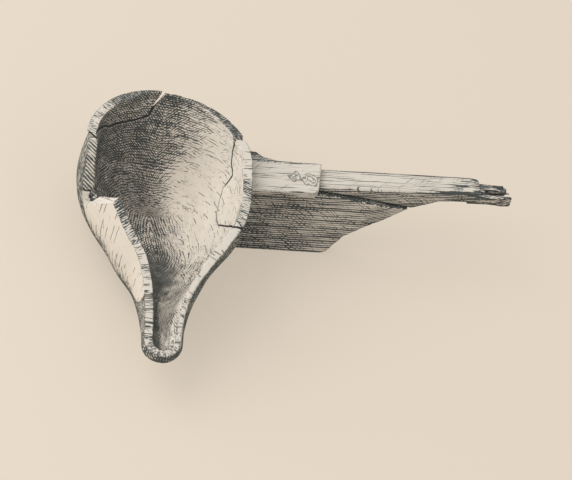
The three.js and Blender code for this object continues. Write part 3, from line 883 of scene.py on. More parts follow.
class NodeSheet:
    """A node tree that is written down node by node."""

    def __init__(self, tree: bpy.types.NodeTree) -> None:
        """Keeps the empty node tree of a material or a group."""
        self.tree = tree

    def put(self, kind: str, settings: dict | None = None, **inputs: object) -> bpy.types.Node:
        """Adds one node.

        Args:
            kind: The node's type.
            settings: Properties of the node itself.
            **inputs: A value or an output socket for each input, by its name with _ for spaces, or by its number
                with an i before it.

        Returns:
            The node.
        """
        node = self.tree.nodes.new(kind)
        for name, value in (settings or {}).items():
            setattr(node, name, value)
        for name, value in inputs.items():
            key = int(name[1:]) if name[0] == "i" and name[1:].isdigit() else name.replace("_", " ")
            if isinstance(value, Port):
                self.tree.links.new(value, node.inputs[key])
            else:
                node.inputs[key].default_value = value
        return node

    def math(self, operation: str, *values: object) -> Port:
        """One sum on plain numbers."""
        inputs = {f"i{place}": value for place, value in enumerate(values)}
        return self.put("ShaderNodeMath", {"operation": operation}, **inputs).outputs[0]

    def vector(self, operation: str, *values: object) -> Port:
        """One sum on vectors."""
        inputs = {f"i{place}": value for place, value in enumerate(values)}
        return self.put("ShaderNodeVectorMath", {"operation": operation}, **inputs).outputs[0]

    def apart(self, one: object, other: object) -> Port:
        """How far two places are from each other."""
        return self.put("ShaderNodeVectorMath", {"operation": "DISTANCE"}, i0=one, i1=other).outputs["Value"]

    def spot(self, x: Port, y: Port) -> Port:
        """A place on a plane."""
        return self.put("ShaderNodeCombineXYZ", X=x, Y=y).outputs[0]

    def parts(self, place: Port) -> object:
        """X, Y and Z of a place."""
        return self.put("ShaderNodeSeparateXYZ", Vector=place).outputs

    def noise(self, place: Port, scale: object, **settings: float) -> object:
        """The Fac and Color of noise."""
        return self.put("ShaderNodeTexNoise", Vector=place, Scale=scale, **settings).outputs

    def bent(self, place: Port, by: object, scale: float, **settings: float) -> object:
        """X, Y and Z of a place that noise moves about by a length.

        Args:
            place: The place.
            by: The length.
            scale: Scale of the noise.
            **settings: Other inputs of the noise.

        Returns:
            The sockets of X, Y and Z.
        """
        away = self.vector("SUBTRACT", self.noise(place, scale, **settings)["Color"], (0.5, 0.5, 0.5))
        away = self.put("ShaderNodeVectorMath", {"operation": "SCALE"}, i0=away, Scale=by).outputs[0]
        return self.parts(self.vector("ADD", place, away))

    def clear(self, mask: Port) -> Port:
        """1 where the mask is 0, and 0 where it is 1."""
        return self.math("SUBTRACT", 1.0, mask)

    def screen(self, *masks: Port) -> Port:
        """Lays several masks over each other, so that dark over dark gets darker.

        Args:
            *masks: The masks.

        Returns:
            The mask of them all.
        """
        left = self.clear(masks[0])
        for mask in masks[1:]:
            left = self.math("MULTIPLY", left, self.clear(mask))
        return self.clear(left)

    def over(self, value: Port, start: float, gain: float) -> Port:
        """What a value has above a start, times a gain, kept between 0 and 1."""
        settings = {"operation": "MULTIPLY_ADD", "use_clamp": True}
        return self.put("ShaderNodeMath", settings, i0=value, i1=gain, i2=-start * gain).outputs[0]

    def ramp(self, value: Port, low: object, high: object) -> Port:
        """A soft step of a value from low to high."""
        settings = {"interpolation_type": "SMOOTHSTEP"}
        return self.put("ShaderNodeMapRange", settings, i0=value, i1=low, i2=high).outputs[0]

    def either(self, share: Port, low: Port, high: Port) -> Port:
        """A mix of two numbers."""
        return self.put("ShaderNodeMix", i0=share, i2=low, i3=high).outputs[0]

    def mix(self, share: object, low: object, high: object) -> Port:
        """A mix of two colours."""
        return self.put("ShaderNodeMix", {"data_type": "RGBA"}, i0=share, i6=low, i7=high).outputs[2]

    def attribute(self, what: Mark) -> Port:
        """One of the mesh's marks as a number."""
        return self.put("ShaderNodeAttribute", {"attribute_name": what.value}).outputs["Fac"]


class WoodEffect:
    """A shader node group that several woods share. Each input has a default, or None for a place."""

    name: str = ""
    inputs: dict[str, float | None] = {}
    outputs: tuple[str, ...] = ("Mask",)

    def group(self) -> bpy.types.NodeTree:
        """The group, made the first time it is asked for.

        Returns:
            The group.
        """
        found = bpy.data.node_groups.get(self.name)
        if found:
            return found
        tree = bpy.data.node_groups.new(self.name, "ShaderNodeTree")
        for name, default in self.inputs.items():
            kind = "NodeSocketVector" if default is None else "NodeSocketFloat"
            made = tree.interface.new_socket(name=name, in_out="INPUT", socket_type=kind)
            if default is not None:
                made.default_value = default
        for name in self.outputs:
            tree.interface.new_socket(name=name, in_out="OUTPUT", socket_type="NodeSocketFloat")
        sheet = NodeSheet(tree)
        given = sheet.put("NodeGroupInput").outputs
        made = sheet.put("NodeGroupOutput")
        for name, value in self.write(sheet, given).items():
            tree.links.new(value, made.inputs[name])
        return tree

    def write(self, sheet: NodeSheet, given: object) -> dict[str, Port]:
        """Writes the group's nodes.

        Args:
            sheet: The group's nodes.
            given: The sockets of the inputs, by name.

        Returns:
            The socket for each output.
        """
        raise NotImplementedError

    def place(self, sheet: NodeSheet, **values: object) -> object:
        """Puts the group into a material, with its own values, and returns its outputs."""
        return sheet.put("ShaderNodeGroup", {"node_tree": self.group()}, **values).outputs


class FibreLines(WoodEffect):
    """Fine dark lines in rows along the fibres, that swell and break off. X of the vector runs along them."""

    name = "fibre_lines"
    inputs = {"Vector": None, "Tone": 0.4, "Spacing": 2.2 * MM, "Length": 12 * MM, "Wander": 7 * MM}
    bend_scale: float = 48.0
    row_shift: Span = (3.71, 1.37)
    press_gain: float = 1.7
    tone_gain: float = 1.4
    bareness: float = -1.1
    softness: float = 0.13

    def write(self, sheet: NodeSheet, given: object) -> dict[str, Port]:
        """Rows of lines, bent by slow noise, whose width follows the tone and a noise of their own.

        Args:
            sheet: The group's nodes.
            given: The sockets of the inputs, by name.

        Returns:
            The socket for each output.
        """
        bent = sheet.bent(given["Vector"], given["Wander"], self.bend_scale, Detail=4.0, Roughness=0.55)
        rows = sheet.math("DIVIDE", bent["Y"], given["Spacing"])
        row = sheet.math("FLOOR", rows)
        off = sheet.math("ABSOLUTE", sheet.math("SUBTRACT", sheet.math("SUBTRACT", rows, row), 0.5))
        along_row = sheet.math("DIVIDE", bent["X"], given["Length"])
        apart, higher = (sheet.math("MULTIPLY", row, shift) for shift in self.row_shift)
        spot = sheet.put("ShaderNodeCombineXYZ", X=along_row, Y=apart, Z=higher).outputs[0]
        press = sheet.noise(spot, 1.0, Detail=2.0, Roughness=0.6)["Fac"]
        wide = sheet.math("MULTIPLY_ADD", given["Tone"], self.tone_gain, self.bareness)
        wide = sheet.math("MULTIPLY_ADD", press, self.press_gain, wide)
        left_over = sheet.math("SUBTRACT", wide, sheet.math("MULTIPLY", off, 2.0))
        return {"Mask": sheet.ramp(left_over, -self.softness, self.softness)}


class LooseDashes(WoodEffect):
    """Short dark dashes at uneven places, some of them missing. X of the vector runs along them."""

    name = "loose_dashes"
    inputs = {"Vector": None, "Tone": 0.4, "Spacing": 4 * MM, "Length": 8 * MM, "Thickness": 0.4 * MM}
    bend: float = 3 * MM
    bend_scale: float = 110.0
    least_half: float = 0.15
    half_gain: float = 0.3
    end_softness: float = 0.12
    side_ramp: Span = (0.5, 1.2)

    def write(self, sheet: NodeSheet, given: object) -> dict[str, Port]:
        """One dash through the point of each stretched cell, with a length and a chance of its own.

        Args:
            sheet: The group's nodes.
            given: The sockets of the inputs, by name.

        Returns:
            The socket for each output.
        """
        bent = sheet.bent(given["Vector"], self.bend, self.bend_scale, Detail=2.0)
        lengths = sheet.math("DIVIDE", bent["X"], given["Length"])
        spot = sheet.spot(lengths, sheet.math("DIVIDE", bent["Y"], given["Spacing"]))
        cells = sheet.put("ShaderNodeTexVoronoi", {"voronoi_dimensions": "2D"}, Vector=spot, Scale=1.0).outputs
        off = sheet.parts(sheet.vector("SUBTRACT", spot, cells["Position"]))
        chance = sheet.put("ShaderNodeSeparateColor", Color=cells["Color"]).outputs
        half = sheet.math("MULTIPLY_ADD", chance["Green"], self.half_gain, self.least_half)
        past_end = sheet.ramp(sheet.math("ABSOLUTE", off["X"]), half, sheet.math("ADD", half, self.end_softness))
        aside = sheet.math("MULTIPLY", sheet.math("ABSOLUTE", off["Y"]), given["Spacing"])
        beside = sheet.ramp(sheet.math("DIVIDE", aside, given["Thickness"]), *self.side_ramp)
        there = sheet.math("LESS_THAN", chance["Red"], given["Tone"])
        dash = sheet.math("MULTIPLY", sheet.clear(past_end), sheet.clear(beside))
        return {"Mask": sheet.math("MULTIPLY", dash, there)}


class BroadFigure(WoodEffect):
    """The slow rise and fall of colour across the growth rings."""

    name = "broad_figure"
    inputs = {"Vector": None, "Ring Width": 6 * MM, "Stretch": 9.0}
    outputs = ("Value",)
    ring_ramp: Span = (0.3, 0.7)

    def write(self, sheet: NodeSheet, given: object) -> dict[str, Port]:
        """Wide stretched noise with a little detail.

        Args:
            sheet: The group's nodes.
            given: The sockets of the inputs, by name.

        Returns:
            The socket for each output.
        """
        per_metre = sheet.math("DIVIDE", 1.0, given["Ring Width"])
        shorter = sheet.math("DIVIDE", per_metre, given["Stretch"])
        scale = sheet.put("ShaderNodeCombineXYZ", X=shorter, Y=per_metre, Z=per_metre).outputs[0]
        wide = sheet.vector("MULTIPLY", given["Vector"], scale)
        rings = sheet.noise(wide, 1.0, Detail=3.0, Roughness=0.5, Distortion=0.4)
        return {"Value": sheet.ramp(rings["Fac"], *self.ring_ramp)}


class TornFibres(WoodEffect):
    """The ragged fibres of a broken face."""

    name = "torn_fibres"
    inputs = {"Vector": None, "Per Metre": 500.0, "Tone": 0.5}
    outputs = ("Mask", "Height")
    slant: Place = (0.5, 0.35, 0.7)
    per_metre_along: float = 90.0
    lump_scale: float = 160.0
    lump_share: float = 0.6
    tone_gain: float = -0.36
    bareness: float = 0.68
    softness: float = 0.07

    def write(self, sheet: NodeSheet, given: object) -> dict[str, Port]:
        """Slanting strokes over lumpy noise.

        Args:
            sheet: The group's nodes.
            given: The sockets of the inputs, by name.

        Returns:
            The socket for each output.
        """
        turn = {"vector_type": "TEXTURE"}
        turned = sheet.put("ShaderNodeMapping", turn, Vector=given["Vector"], Rotation=self.slant)
        across = given["Per Metre"]
        scale = sheet.put("ShaderNodeCombineXYZ", X=self.per_metre_along, Y=across, Z=across).outputs[0]
        fine = sheet.vector("MULTIPLY", turned.outputs[0], scale)
        strokes = sheet.noise(fine, 1.0, Detail=2.0, Roughness=0.55)["Fac"]
        lumps = sheet.noise(given["Vector"], self.lump_scale, Detail=3.0)["Fac"]
        level = sheet.math("MULTIPLY_ADD", given["Tone"], self.tone_gain, self.bareness)
        mask = sheet.ramp(strokes, level, sheet.math("ADD", level, self.softness))
        return {"Mask": mask, "Height": sheet.math("MULTIPLY_ADD", lumps, self.lump_share, strokes)}


class Knots(WoodEffect):
    """The crooked rings round one small knot."""

    name = "knots"
    inputs = {"Vector": None, "Place": None, "Size": 5 * MM}
    noise_scale: float = 130.0
    crookedness: float = 2.4
    rings: Span = (1.0, 0.5)
    line_ramp: Span = (0.06, 0.14)

    def write(self, sheet: NodeSheet, given: object) -> dict[str, Port]:
        """Thin lines at even distances from the place, bent by noise, out to the size.

        Args:
            sheet: The group's nodes.
            given: The sockets of the inputs, by name.

        Returns:
            The socket for each output.
        """
        crooked = sheet.noise(given["Vector"], self.noise_scale, Detail=3.0)["Fac"]
        away = sheet.math("DIVIDE", sheet.apart(given["Vector"], given["Place"]), given["Size"])
        away = sheet.math("SUBTRACT", away, self.crookedness / 2)
        away = sheet.math("MULTIPLY_ADD", crooked, self.crookedness, away)
        outer, inner = (sheet.math("ABSOLUTE", sheet.math("SUBTRACT", away, ring)) for ring in self.rings)
        return {"Mask": sheet.clear(sheet.ramp(sheet.math("MINIMUM", outer, inner), *self.line_ramp))}


class Pores(WoodEffect):
    """Small round worn holes."""

    name = "pores"
    inputs = {"Vector": None, "Per Metre": 420.0, "Size": 0.25}
    softness: float = 0.1

    def write(self, sheet: NodeSheet, given: object) -> dict[str, Port]:
        """Dots at the middles of small cells.

        Args:
            sheet: The group's nodes.
            given: The sockets of the inputs, by name.

        Returns:
            The socket for each output.
        """
        cells = sheet.put("ShaderNodeTexVoronoi", Vector=given["Vector"], Scale=given["Per Metre"]).outputs
        wider = sheet.math("ADD", given["Size"], self.softness)
        return {"Mask": sheet.clear(sheet.ramp(cells["Distance"], given["Size"], wider))}


@dataclass(frozen=True)
class Stroke:
    """One layer of marks on the wood.

    The marks appear from the start tone and thicken with the gain. Without a start they follow the tone itself.
    Turn is their angle in radians.
    """

    spacing: float
    length: float
    turn: float = 0.0
    start: float | None = None
    gain: float = 1.0

    def effect(self) -> tuple[WoodEffect, dict[str, float]]:
        """The node group that draws the marks, and its further values."""
        raise NotImplementedError

    def lay(self, sheet: NodeSheet, vector: Port, tone: Port) -> Port:
        """Draws the layer.

        Args:
            sheet: The material's nodes.
            vector: Places, with the fibres along X.
            tone: How dark the wood is.

        Returns:
            The mask of the marks.
        """
        if self.start is not None:
            tone = sheet.over(tone, self.start, self.gain)
        if self.turn:
            vector = sheet.put("ShaderNodeMapping", Vector=vector, Rotation=(0, 0, self.turn)).outputs[0]
        effect, more = self.effect()
        return effect.place(sheet, Vector=vector, Tone=tone, Spacing=self.spacing, Length=self.length, **more)["Mask"]


@dataclass(frozen=True)
class Lines(Stroke):
    """Rows of fibre lines."""

    wander: float = 7 * MM

    def effect(self) -> tuple[WoodEffect, dict[str, float]]:
        """Fibre lines that wander from their rows."""
        return FibreLines(), {"Wander": self.wander}


@dataclass(frozen=True)
class Dashes(Stroke):
    """Loose dashes, more of them where the tone is darker."""

    thickness: float = 0.4 * MM

    def effect(self) -> tuple[WoodEffect, dict[str, float]]:
        """Loose dashes of a thickness."""
        return LooseDashes(), {"Thickness": self.thickness}


@dataclass(frozen=True)
class WoodFinish:
    """The colours and figure that every fragment of the ladle shares."""

    name: str
    pale: Place = (0.67, 0.617, 0.54)
    warm: Place = (0.53, 0.505, 0.455)
    dark: Place = (0.040, 0.052, 0.053)
    roughness: float = 0.82
    line_depth: float = 0.3 * MM
    patch_scale: float = 48.0
    patches: Span = (0.34, -0.17)
    ring_width: float = 5 * MM
    stretch: float = 22.0
    least_figure: float = 0.15
    fibres_per_metre: float = 560.0
    figure_gain: float = 0.5
    mark_share: float = 0.95
    mark_roughness: float = 0.12
    fibre_lift: float = 1.6
    bump_strength: float = 0.9
    specular: float = 0.25
    press_scale: float = 120.0
    press_ramp: Span = (0.35, 0.75)

    def start(self) -> tuple[bpy.types.Material, NodeSheet, Port, Port]:
        """An empty material, the sheet to write it on, the place in metres, and the tone with its patches.

        Returns:
            The material, the sheet, the place and the tone.
        """
        material = bpy.data.materials.new(self.name)
        material.use_nodes = True
        material.node_tree.nodes.clear()
        sheet = NodeSheet(material.node_tree)
        place = sheet.put("ShaderNodeTexCoord").outputs["Object"]
        patches = sheet.math("MULTIPLY_ADD", sheet.noise(place, self.patch_scale, Detail=3.0)["Fac"], *self.patches)
        # The tone carries the painted shade and the wood's own marks; random patches are added to it.
        return material, sheet, place, sheet.math("ADD", sheet.attribute(Mark.TONE), patches)

    def layers(self, sheet: NodeSheet, strokes: tuple[Stroke, ...], vector: Port, tone: Port) -> Port:
        """Several layers of marks over each other."""
        return sheet.screen(*(stroke.lay(sheet, vector, tone) for stroke in strokes))

    def fibres(self, sheet: NodeSheet, place: Port, tone: Port) -> object:
        """The torn fibres of broken faces."""
        return TornFibres().place(sheet, Vector=place, Per_Metre=self.fibres_per_metre, Tone=tone)

    def edge_line(self, sheet: NodeSheet, place: Port) -> Port:
        """A broken dark line along the worn edges."""
        press = sheet.noise(place, self.press_scale, Detail=2.0)["Fac"]
        return sheet.math("MULTIPLY", sheet.attribute(Mark.EDGE), sheet.ramp(press, *self.press_ramp))

    def close(self, sheet: NodeSheet, unmarked_colour: object, path: Port, tone: Port, mask: Port, fibres: object) -> None:
        """Turns the masks into a surface.

        Args:
            sheet: The material's nodes.
            unmarked_colour: The colour of the wood without marks, paler inside the bowl as painted light.
            path: Places that the broad figure runs along.
            tone: How dark the wood is.
            mask: Where the wood is marked, between 0 and 1.
            fibres: The torn fibres.
        """
        figure = BroadFigure().place(sheet, Vector=path, Ring_Width=self.ring_width, Stretch=self.stretch)["Value"]
        figure = sheet.math("MULTIPLY", figure, sheet.math("MULTIPLY_ADD", tone, self.figure_gain, self.least_figure))
        ground = sheet.mix(figure, unmarked_colour, (*self.warm, 1))
        colour = sheet.mix(sheet.math("MULTIPLY", mask, self.mark_share), ground, (*self.dark, 1))
        rough = sheet.math("MULTIPLY_ADD", mask, self.mark_roughness, self.roughness)
        lift = sheet.math("MULTIPLY", sheet.attribute(Mark.BROKEN), self.fibre_lift)
        height = sheet.math("SUBTRACT", sheet.math("MULTIPLY", fibres["Height"], lift), mask)
        bump = sheet.put("ShaderNodeBump", Strength=self.bump_strength, Distance=self.line_depth, Height=height)
        surface = sheet.put("ShaderNodeBsdfPrincipled", Base_Color=colour, Roughness=rough, Normal=bump.outputs[0])
        surface.inputs["Specular IOR Level"].default_value = self.specular
        sheet.put("ShaderNodeOutputMaterial", Surface=surface.outputs["BSDF"])


@dataclass(frozen=True)
class BowlWood(WoodFinish):
    """Wood of the bowl and spout, whose lines follow the carved form inside and stand upright outside."""

    patch_scale: float = 52.0
    patches: Span = (0.4, -0.19)
    ring_width: float = 7 * MM
    stretch: float = 9.0
    least_figure: float = 0.12
    fibres_per_metre: float = 620.0
    # Painted light: the inside of the bowl is paler to make up for the bowl's own shade.
    brightened_inside: Place = (0.86, 0.775, 0.67)
    crack_line: Span = (0.6 * MM, 1.2 * MM)
    pores_per_metre: float = 430.0
    pore_size: float = 0.24
    tip: Span = (0.186, 0.198)
    within: tuple[Stroke, ...] = (
        Lines(2.5 * MM, 10 * MM, 0.12, 0.0, 0.82),
        Lines(2.2 * MM, 8 * MM, 0.85, 0.1),
        Lines(1.9 * MM, 6 * MM, -0.7, 0.36, 1.3),
        Dashes(4.8 * MM, 20 * MM, 0.3, -0.1, thickness=0.3 * MM),
    )
    without: tuple[Stroke, ...] = (
        Lines(2.6 * MM, 6 * MM, 0.08, 0.08, 0.95),
        Lines(1.9 * MM, 6 * MM, -0.7, 0.15, 1.15),
        Dashes(5.2 * MM, 12 * MM, 0.0, -0.1, 1.6),
    )
    on_rim: tuple[Stroke, ...] = (
        Dashes(3.0 * MM, 9 * MM, 0.35, -0.1, 1.3),
        Dashes(2.4 * MM, 6 * MM, -0.5, 0.1, 1.3),
        Lines(2.1 * MM, 4.5 * MM, -0.4, 0.3, 1.7, 8 * MM),
    )
    on_breaks: tuple[Stroke, ...] = (
        Lines(3.0 * MM, 12 * MM, 0.9, wander=3 * MM),
        Lines(2.5 * MM, 7 * MM, -0.4, 0.4, 1.2, 3 * MM),
    )

    def material(self) -> bpy.types.Material:
        """Builds the material.

        Returns:
            The material.
        """
        material, sheet, place, tone = self.start()
        around, down, inside = (sheet.attribute(what) for what in (Mark.AROUND, Mark.DOWN, Mark.INSIDE))
        path = sheet.spot(around, down)
        upright = sheet.spot(sheet.math("ADD", down, sheet.apart(place, (0, 0, 0))), around)
        parts = sheet.parts(place)
        grain = sheet.spot(parts["X"], sheet.math("ADD", parts["Y"], parts["Z"]))
        without = self.layers(sheet, self.without, upright, tone)
        marks = sheet.either(inside, without, self.layers(sheet, self.within, path, tone))
        marks = sheet.either(sheet.attribute(Mark.RIM), marks, self.layers(sheet, self.on_rim, upright, tone))
        marks = sheet.either(sheet.attribute(Mark.BROKEN), marks, self.layers(sheet, self.on_breaks, grain, tone))
        pores = Pores().place(sheet, Vector=place, Per_Metre=self.pores_per_metre, Size=self.pore_size)["Mask"]
        at_tip = sheet.ramp(sheet.math("MULTIPLY", parts["Y"], -1.0), *self.tip)
        crack = sheet.clear(sheet.ramp(sheet.attribute(Mark.CRACK), *self.crack_line))
        mask = sheet.screen(marks, sheet.math("MULTIPLY", pores, at_tip), crack, self.edge_line(sheet, place))
        # Inside the bowl the colour is paler, as painted light.
        unmarked_colour = sheet.mix(inside, (*self.pale, 1), (*self.brightened_inside, 1))
        self.close(sheet, unmarked_colour, path, tone, mask, self.fibres(sheet, place, tone))
        return material


@dataclass(frozen=True)
class HandleWood(WoodFinish):
    """Wood of the handle, with long straight grain along X."""

    knots: tuple[tuple[float, float, float, float], ...] = ()
    knot_tone: float = 0.7
    straight: Stroke = Lines(2.2 * MM, 45 * MM, wander=2.4 * MM)
    crossing: Stroke = Lines(2.1 * MM, 22 * MM, 0.6, 0.24, 0.95, 11 * MM)
    denser: Stroke = Lines(1.8 * MM, 14 * MM, -0.5, 0.5, 1.2, 11 * MM)

    def material(self) -> bpy.types.Material:
        """Builds the material.

        Returns:
            The material.
        """
        material, sheet, place, tone = self.start()
        parts = sheet.parts(place)
        grain = sheet.spot(parts["X"], sheet.math("SUBTRACT", parts["Z"], parts["Y"]))
        straight, crossing, denser = (
            stroke.lay(sheet, grain, tone) for stroke in (self.straight, self.crossing, self.denser)
        )
        hatch = sheet.screen(straight, crossing, denser)
        fibres = self.fibres(sheet, place, tone)
        torn = sheet.screen(straight, fibres["Mask"])
        masks = [sheet.either(sheet.attribute(Mark.BROKEN), hatch, torn), self.edge_line(sheet, place)]
        for x, y, z, size in self.knots:
            knot = Knots().place(sheet, Vector=place, Place=(x, y, z), Size=size)["Mask"]
            masks.append(sheet.math("MULTIPLY", knot, self.knot_tone))
        self.close(sheet, (*self.pale, 1), place, tone, sheet.screen(*masks), fibres)
        return material


@dataclass
class Bowl:
    """The deep bowl with its spout, in four fragments."""

    form: VesselForm = field(default_factory=VesselForm)
    body_voxel: float = 1.3 * MM
    shard_voxel: float = 0.85 * MM
    shard_shift: float = 2.5 * MM
    shard_bearing: float = 134.0
    torn_by: float = 0.5 * MM
    # Outside adds painted shade to the body's whole outer wall.
    body_shading: Shading = Shading(
        0.5,
        0.0,
        0.5,
        (
            (-180, 0.45),
            (-110, 0.5),
            (-92, 0.42),
            (-70, 0.06),
            (-50, 0.2),
            (-30, 0.35),
            (14, 0.72),
            (150, 0.72),
            (180, 0.45),
        ),
    )
    shard_shading: Shading = Shading(0.2, -0.08, 0.42, ((60, 0.72), (135, 0.7), (142, 0.42), (180, 0.38)))
    left_shading: Shading = Shading(
        0.0, 0.0, 0.14, ((-180, 0.2), (-130, 0.4), (-122, 0.7), (-108, 0.5), (-104, 0.34), (-90, 0.42))
    )
    right_shading: Shading = Shading(
        0.1, 0.03, 0.7, ((-60, 0.4), (-34, 0.48), (-26, 0.62), (-19, 0.5), (-12, 0.18), (30, 0.1))
    )

    def build(self) -> list[bpy.types.Object]:
        """Makes every fragment.

        Returns:
            The finished pieces.
        """
        skin = CarvedSkin(self.form)
        wood = BowlWood("stained_bowl_wood").material()
        return [part.build(skin, self.form, wood) for part in self.fragments()]

    def fragments(self) -> list[VesselFragment]:
        """The body and the three shards, each with its own shading.

        Returns:
            The four fragments, not made yet.
        """
        angle = math.radians(self.shard_bearing - self.form.skew)
        slid = (self.shard_shift * math.cos(angle), self.shard_shift * math.sin(angle))
        body, rim = "bowl_body", "back_rim_shard"
        left, right = "front_left_wall_shard", "handle_side_wall_shard"
        shard = {"voxel": self.shard_voxel, "neighbours": (body,)}
        return [
            VesselFragment(
                body, "bowl_wood", self.body_voxel, 1.0, shading=self.body_shading, neighbours=(rim, left, right)
            ),
            VesselFragment(rim, "shard_wood", seed=2.0, shading=self.shard_shading, shift=slid, **shard),
            VesselFragment(left, "bowl_wood", seed=3.0, shading=self.left_shading, torn_by=self.torn_by, **shard),
            VesselFragment(right, "bowl_wood", seed=4.0, shading=self.right_shading, torn_by=self.torn_by, **shard),
        ]


@dataclass(frozen=True)
class SliverRow:
    """Where the slivers of one torn tongue may lie: how many, and the least and greatest Y, Z and end."""

    count: int
    y: Span
    z: Span
    end: Span


@dataclass
class Handle:
    """The straight shaft, the block left on its root and the web that braces it."""

    voxel: float = 0.75 * MM
    web_voxel: float = 0.95 * MM
    knots: tuple[tuple[float, float, float, float], ...] = (
        (0.1191, -0.0109, 0.0824, 0.0052),
        (0.1344, -0.0130, 0.0824, 0.0066),
    )
    sliver_rows: tuple[SliverRow, ...] = (
        SliverRow(8, (-0.004, 0.0045), (0.0695, 0.0735), (0.308, 0.3215)),
        SliverRow(13, (-0.0118, -0.001), (0.0612, 0.0685), (0.312, 0.3275)),
    )
    sliver_root: float = 0.286
    sliver_thickness: Span = (1.6 * MM, 3.3 * MM)
    sliver_bluntness: Span = (0.45, 0.95)
    torn_from: float = 0.287
    torn_by: float = 0.5 * MM
    end_seed: int = 8
    # Painted shadow of the block on the web: where it fades along X, and how dark it is.
    web_shade: Span = (0.09, 0.2)
    web_shade_tone: float = 0.13

    def build(self) -> list[bpy.types.Object]:
        """Makes every fragment.

        Returns:
            The finished pieces.
        """
        shaft_wood = HandleWood(
            "straight_handle_wood",
            knots=self.knots,
            crossing=Lines(2.1 * MM, 22 * MM, 0.6, 0.0, 0.5, 11 * MM),
            denser=Lines(1.8 * MM, 14 * MM, -0.5, 0.5, 0.3, 11 * MM),
        ).material()
        web_wood = HandleWood("rough_web_wood").material()
        block = HandleFragment(
            "handle_root_block", "handle_wood", self.voxel, 5.0, top_tone=0.15, shaded_front_tone=0.38, back_edge=9 * MM
        )
        end = {"torn_from": self.torn_from, "torn_by": self.torn_by, "splinters": self.slivers()}
        shaft = HandleFragment("handle_shaft", "handle_wood", self.voxel, 6.0, **end)
        shade = {"shaded_span": self.web_shade, "shaded_tone": self.web_shade_tone}
        web = HandleFragment("handle_web", "web_wood", self.web_voxel, 7.0, top_tone=0.7, shaded_front_tone=0.47, **shade)
        return [block.build(shaft_wood), shaft.build(shaft_wood), web.build(web_wood)]

    def slivers(self) -> tuple[Splinter, ...]:
        """The slivers that stand out of the shaft's broken end, always the same ones.

        Returns:
            The slivers.
        """
        picks = random.Random(self.end_seed)
        slivers = []
        for row in self.sliver_rows:
            for _ in range(row.count):
                y, z, end = picks.uniform(*row.y), picks.uniform(*row.z), picks.uniform(*row.end)
                thickness = picks.uniform(*self.sliver_thickness)
                root = (self.sliver_root, y + picks.uniform(-MM, MM), z + picks.uniform(-MM, MM))
                slivers.append(Splinter(root, (end, y, z), thickness, picks.uniform(*self.sliver_bluntness)))
        return tuple(slivers)


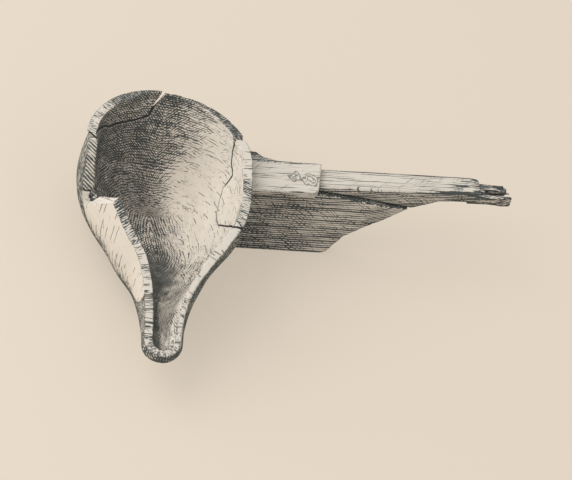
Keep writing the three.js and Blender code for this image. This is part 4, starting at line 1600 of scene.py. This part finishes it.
@dataclass
class Studio:
    """The plain pale floor, the soft lamps and the camera."""

    floor_colour: Place = (0.776, 0.679, 0.565)
    floor_tooth: float = 0.97
    floor_size: float = 8.0
    floor_height: float = -0.3 * MM
    evenness: float = 0.6
    sky: float = 0.68
    sky_colour: Place = (1.0, 0.99, 0.97)
    lamp_aim: Place = (0.1, -0.05, 0.03)
    camera_right: Place = (0.9636, -0.1423, 0.228)
    camera_up: Place = (-0.056, 0.7229, 0.688)
    aim: Place = (0.0, 0.0, 0.097)
    aim_right: float = 0.1048
    aim_down: float = 0.0820
    view_width: float = 0.5211
    distance: float = 2.0

    def build(self) -> None:
        """Makes the floor, the world, the lamps and the camera."""
        self.floor()
        self.world()
        self.lamp("key", (-1.75, 0.35, 1.65), 2.8, 52.0)
        self.lamp("fill", (0.9, -1.5, 1.6), 2.3, 3.0)
        self.camera()

    def floor(self) -> None:
        """A plain pale floor under the ladle, which keeps part of its shadow."""
        mesh = bpy.data.meshes.new("floor")
        shape = bmesh.new()
        bmesh.ops.create_grid(shape, x_segments=1, y_segments=1, size=self.floor_size / 2)
        shape.to_mesh(mesh)
        shape.free()
        floor = bpy.data.objects.new("floor", mesh)
        floor.location.z = self.floor_height
        bpy.context.scene.collection.objects.link(floor)
        material = bpy.data.materials.new("pale_floor")
        material.use_nodes = True
        material.node_tree.nodes.clear()
        sheet = NodeSheet(material.node_tree)
        place = sheet.put("ShaderNodeTexCoord").outputs["Object"]
        darker = tuple(self.floor_tooth * part for part in self.floor_colour)
        colour = sheet.mix(sheet.noise(place, 900.0, Detail=2.0)["Fac"], (*self.floor_colour, 1), (*darker, 1))
        matte = sheet.put("ShaderNodeBsdfDiffuse", Color=colour).outputs[0]
        even = sheet.put("ShaderNodeEmission", Color=colour, Strength=1.0).outputs[0]
        mixed = sheet.put("ShaderNodeMixShader", i0=self.seen(sheet, self.evenness), i1=matte, i2=even)
        sheet.put("ShaderNodeOutputMaterial", Surface=mixed.outputs[0])
        mesh.materials.append(material)

    def seen(self, sheet: NodeSheet, share: float) -> Port:
        """A share of 1 for rays that the eye follows, straight or off something shiny, and 0 for the others.

        Args:
            sheet: The nodes of the material or the world.
            share: The share.

        Returns:
            The socket of the share.
        """
        path = sheet.put("ShaderNodeLightPath").outputs
        eye = sheet.math("MAXIMUM", path["Is Camera Ray"], path["Is Glossy Ray"])
        return sheet.math("MULTIPLY", sheet.math("MAXIMUM", eye, path["Is Transmission Ray"]), share)

    def world(self) -> None:
        """Even light from all round, which the camera sees in the floor's colour."""
        world = bpy.data.worlds.new("studio")
        bpy.context.scene.world = world
        world.use_nodes = True
        world.node_tree.nodes.clear()
        sheet = NodeSheet(world.node_tree)
        even = sheet.put("ShaderNodeBackground", Color=(*self.sky_colour, 1), Strength=self.sky).outputs[0]
        seen = sheet.put("ShaderNodeBackground", Color=(*self.floor_colour, 1), Strength=1.0).outputs[0]
        mixed = sheet.put("ShaderNodeMixShader", i0=self.seen(sheet, 1.0), i1=even, i2=seen)
        sheet.put("ShaderNodeOutputWorld", Surface=mixed.outputs[0])

    def lamp(self, name: str, place: Place, size: float, watts: float) -> None:
        """One soft square lamp that points at the ladle.

        Args:
            name: Name of the lamp.
            place: Where it hangs.
            size: Length of its side.
            watts: Its power.
        """
        data = bpy.data.lights.new(name, "AREA")
        data.shape = "SQUARE"
        data.size = size
        data.energy = watts
        lamp = bpy.data.objects.new(name, data)
        bpy.context.scene.collection.objects.link(lamp)
        lamp.location = place
        lamp.rotation_euler = (Vector(self.lamp_aim) - Vector(place)).to_track_quat("-Z", "Y").to_euler()

    def camera(self) -> None:
        """A camera at the photograph's angle, without perspective."""
        data = bpy.data.cameras.new("camera")
        data.type = "ORTHO"
        data.ortho_scale = self.view_width
        data.clip_start, data.clip_end = 0.01, 20.0
        right = Vector(self.camera_right).normalized()
        back = right.cross(Vector(self.camera_up)).normalized()
        up = back.cross(right)
        camera = bpy.data.objects.new("camera", data)
        bpy.context.scene.collection.objects.link(camera)
        camera.matrix_world = Matrix((right, up, back)).transposed().to_4x4()
        camera.location = Vector(self.aim) + right * self.aim_right - up * self.aim_down + back * self.distance
        bpy.context.scene.camera = camera


def main() -> None:
    """Builds the ladle's looks and the studio."""
    logging.basicConfig(level=logging.INFO, format="%(name)s: %(message)s")
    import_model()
    bpy.context.scene.view_settings.view_transform = "Standard"
    pieces = Bowl().build() + Handle().build()
    Studio().build()
    LOG.info("%d pieces", len(pieces))
    bpy.context.view_layer.update()


if __name__ == "__main__":
    main()
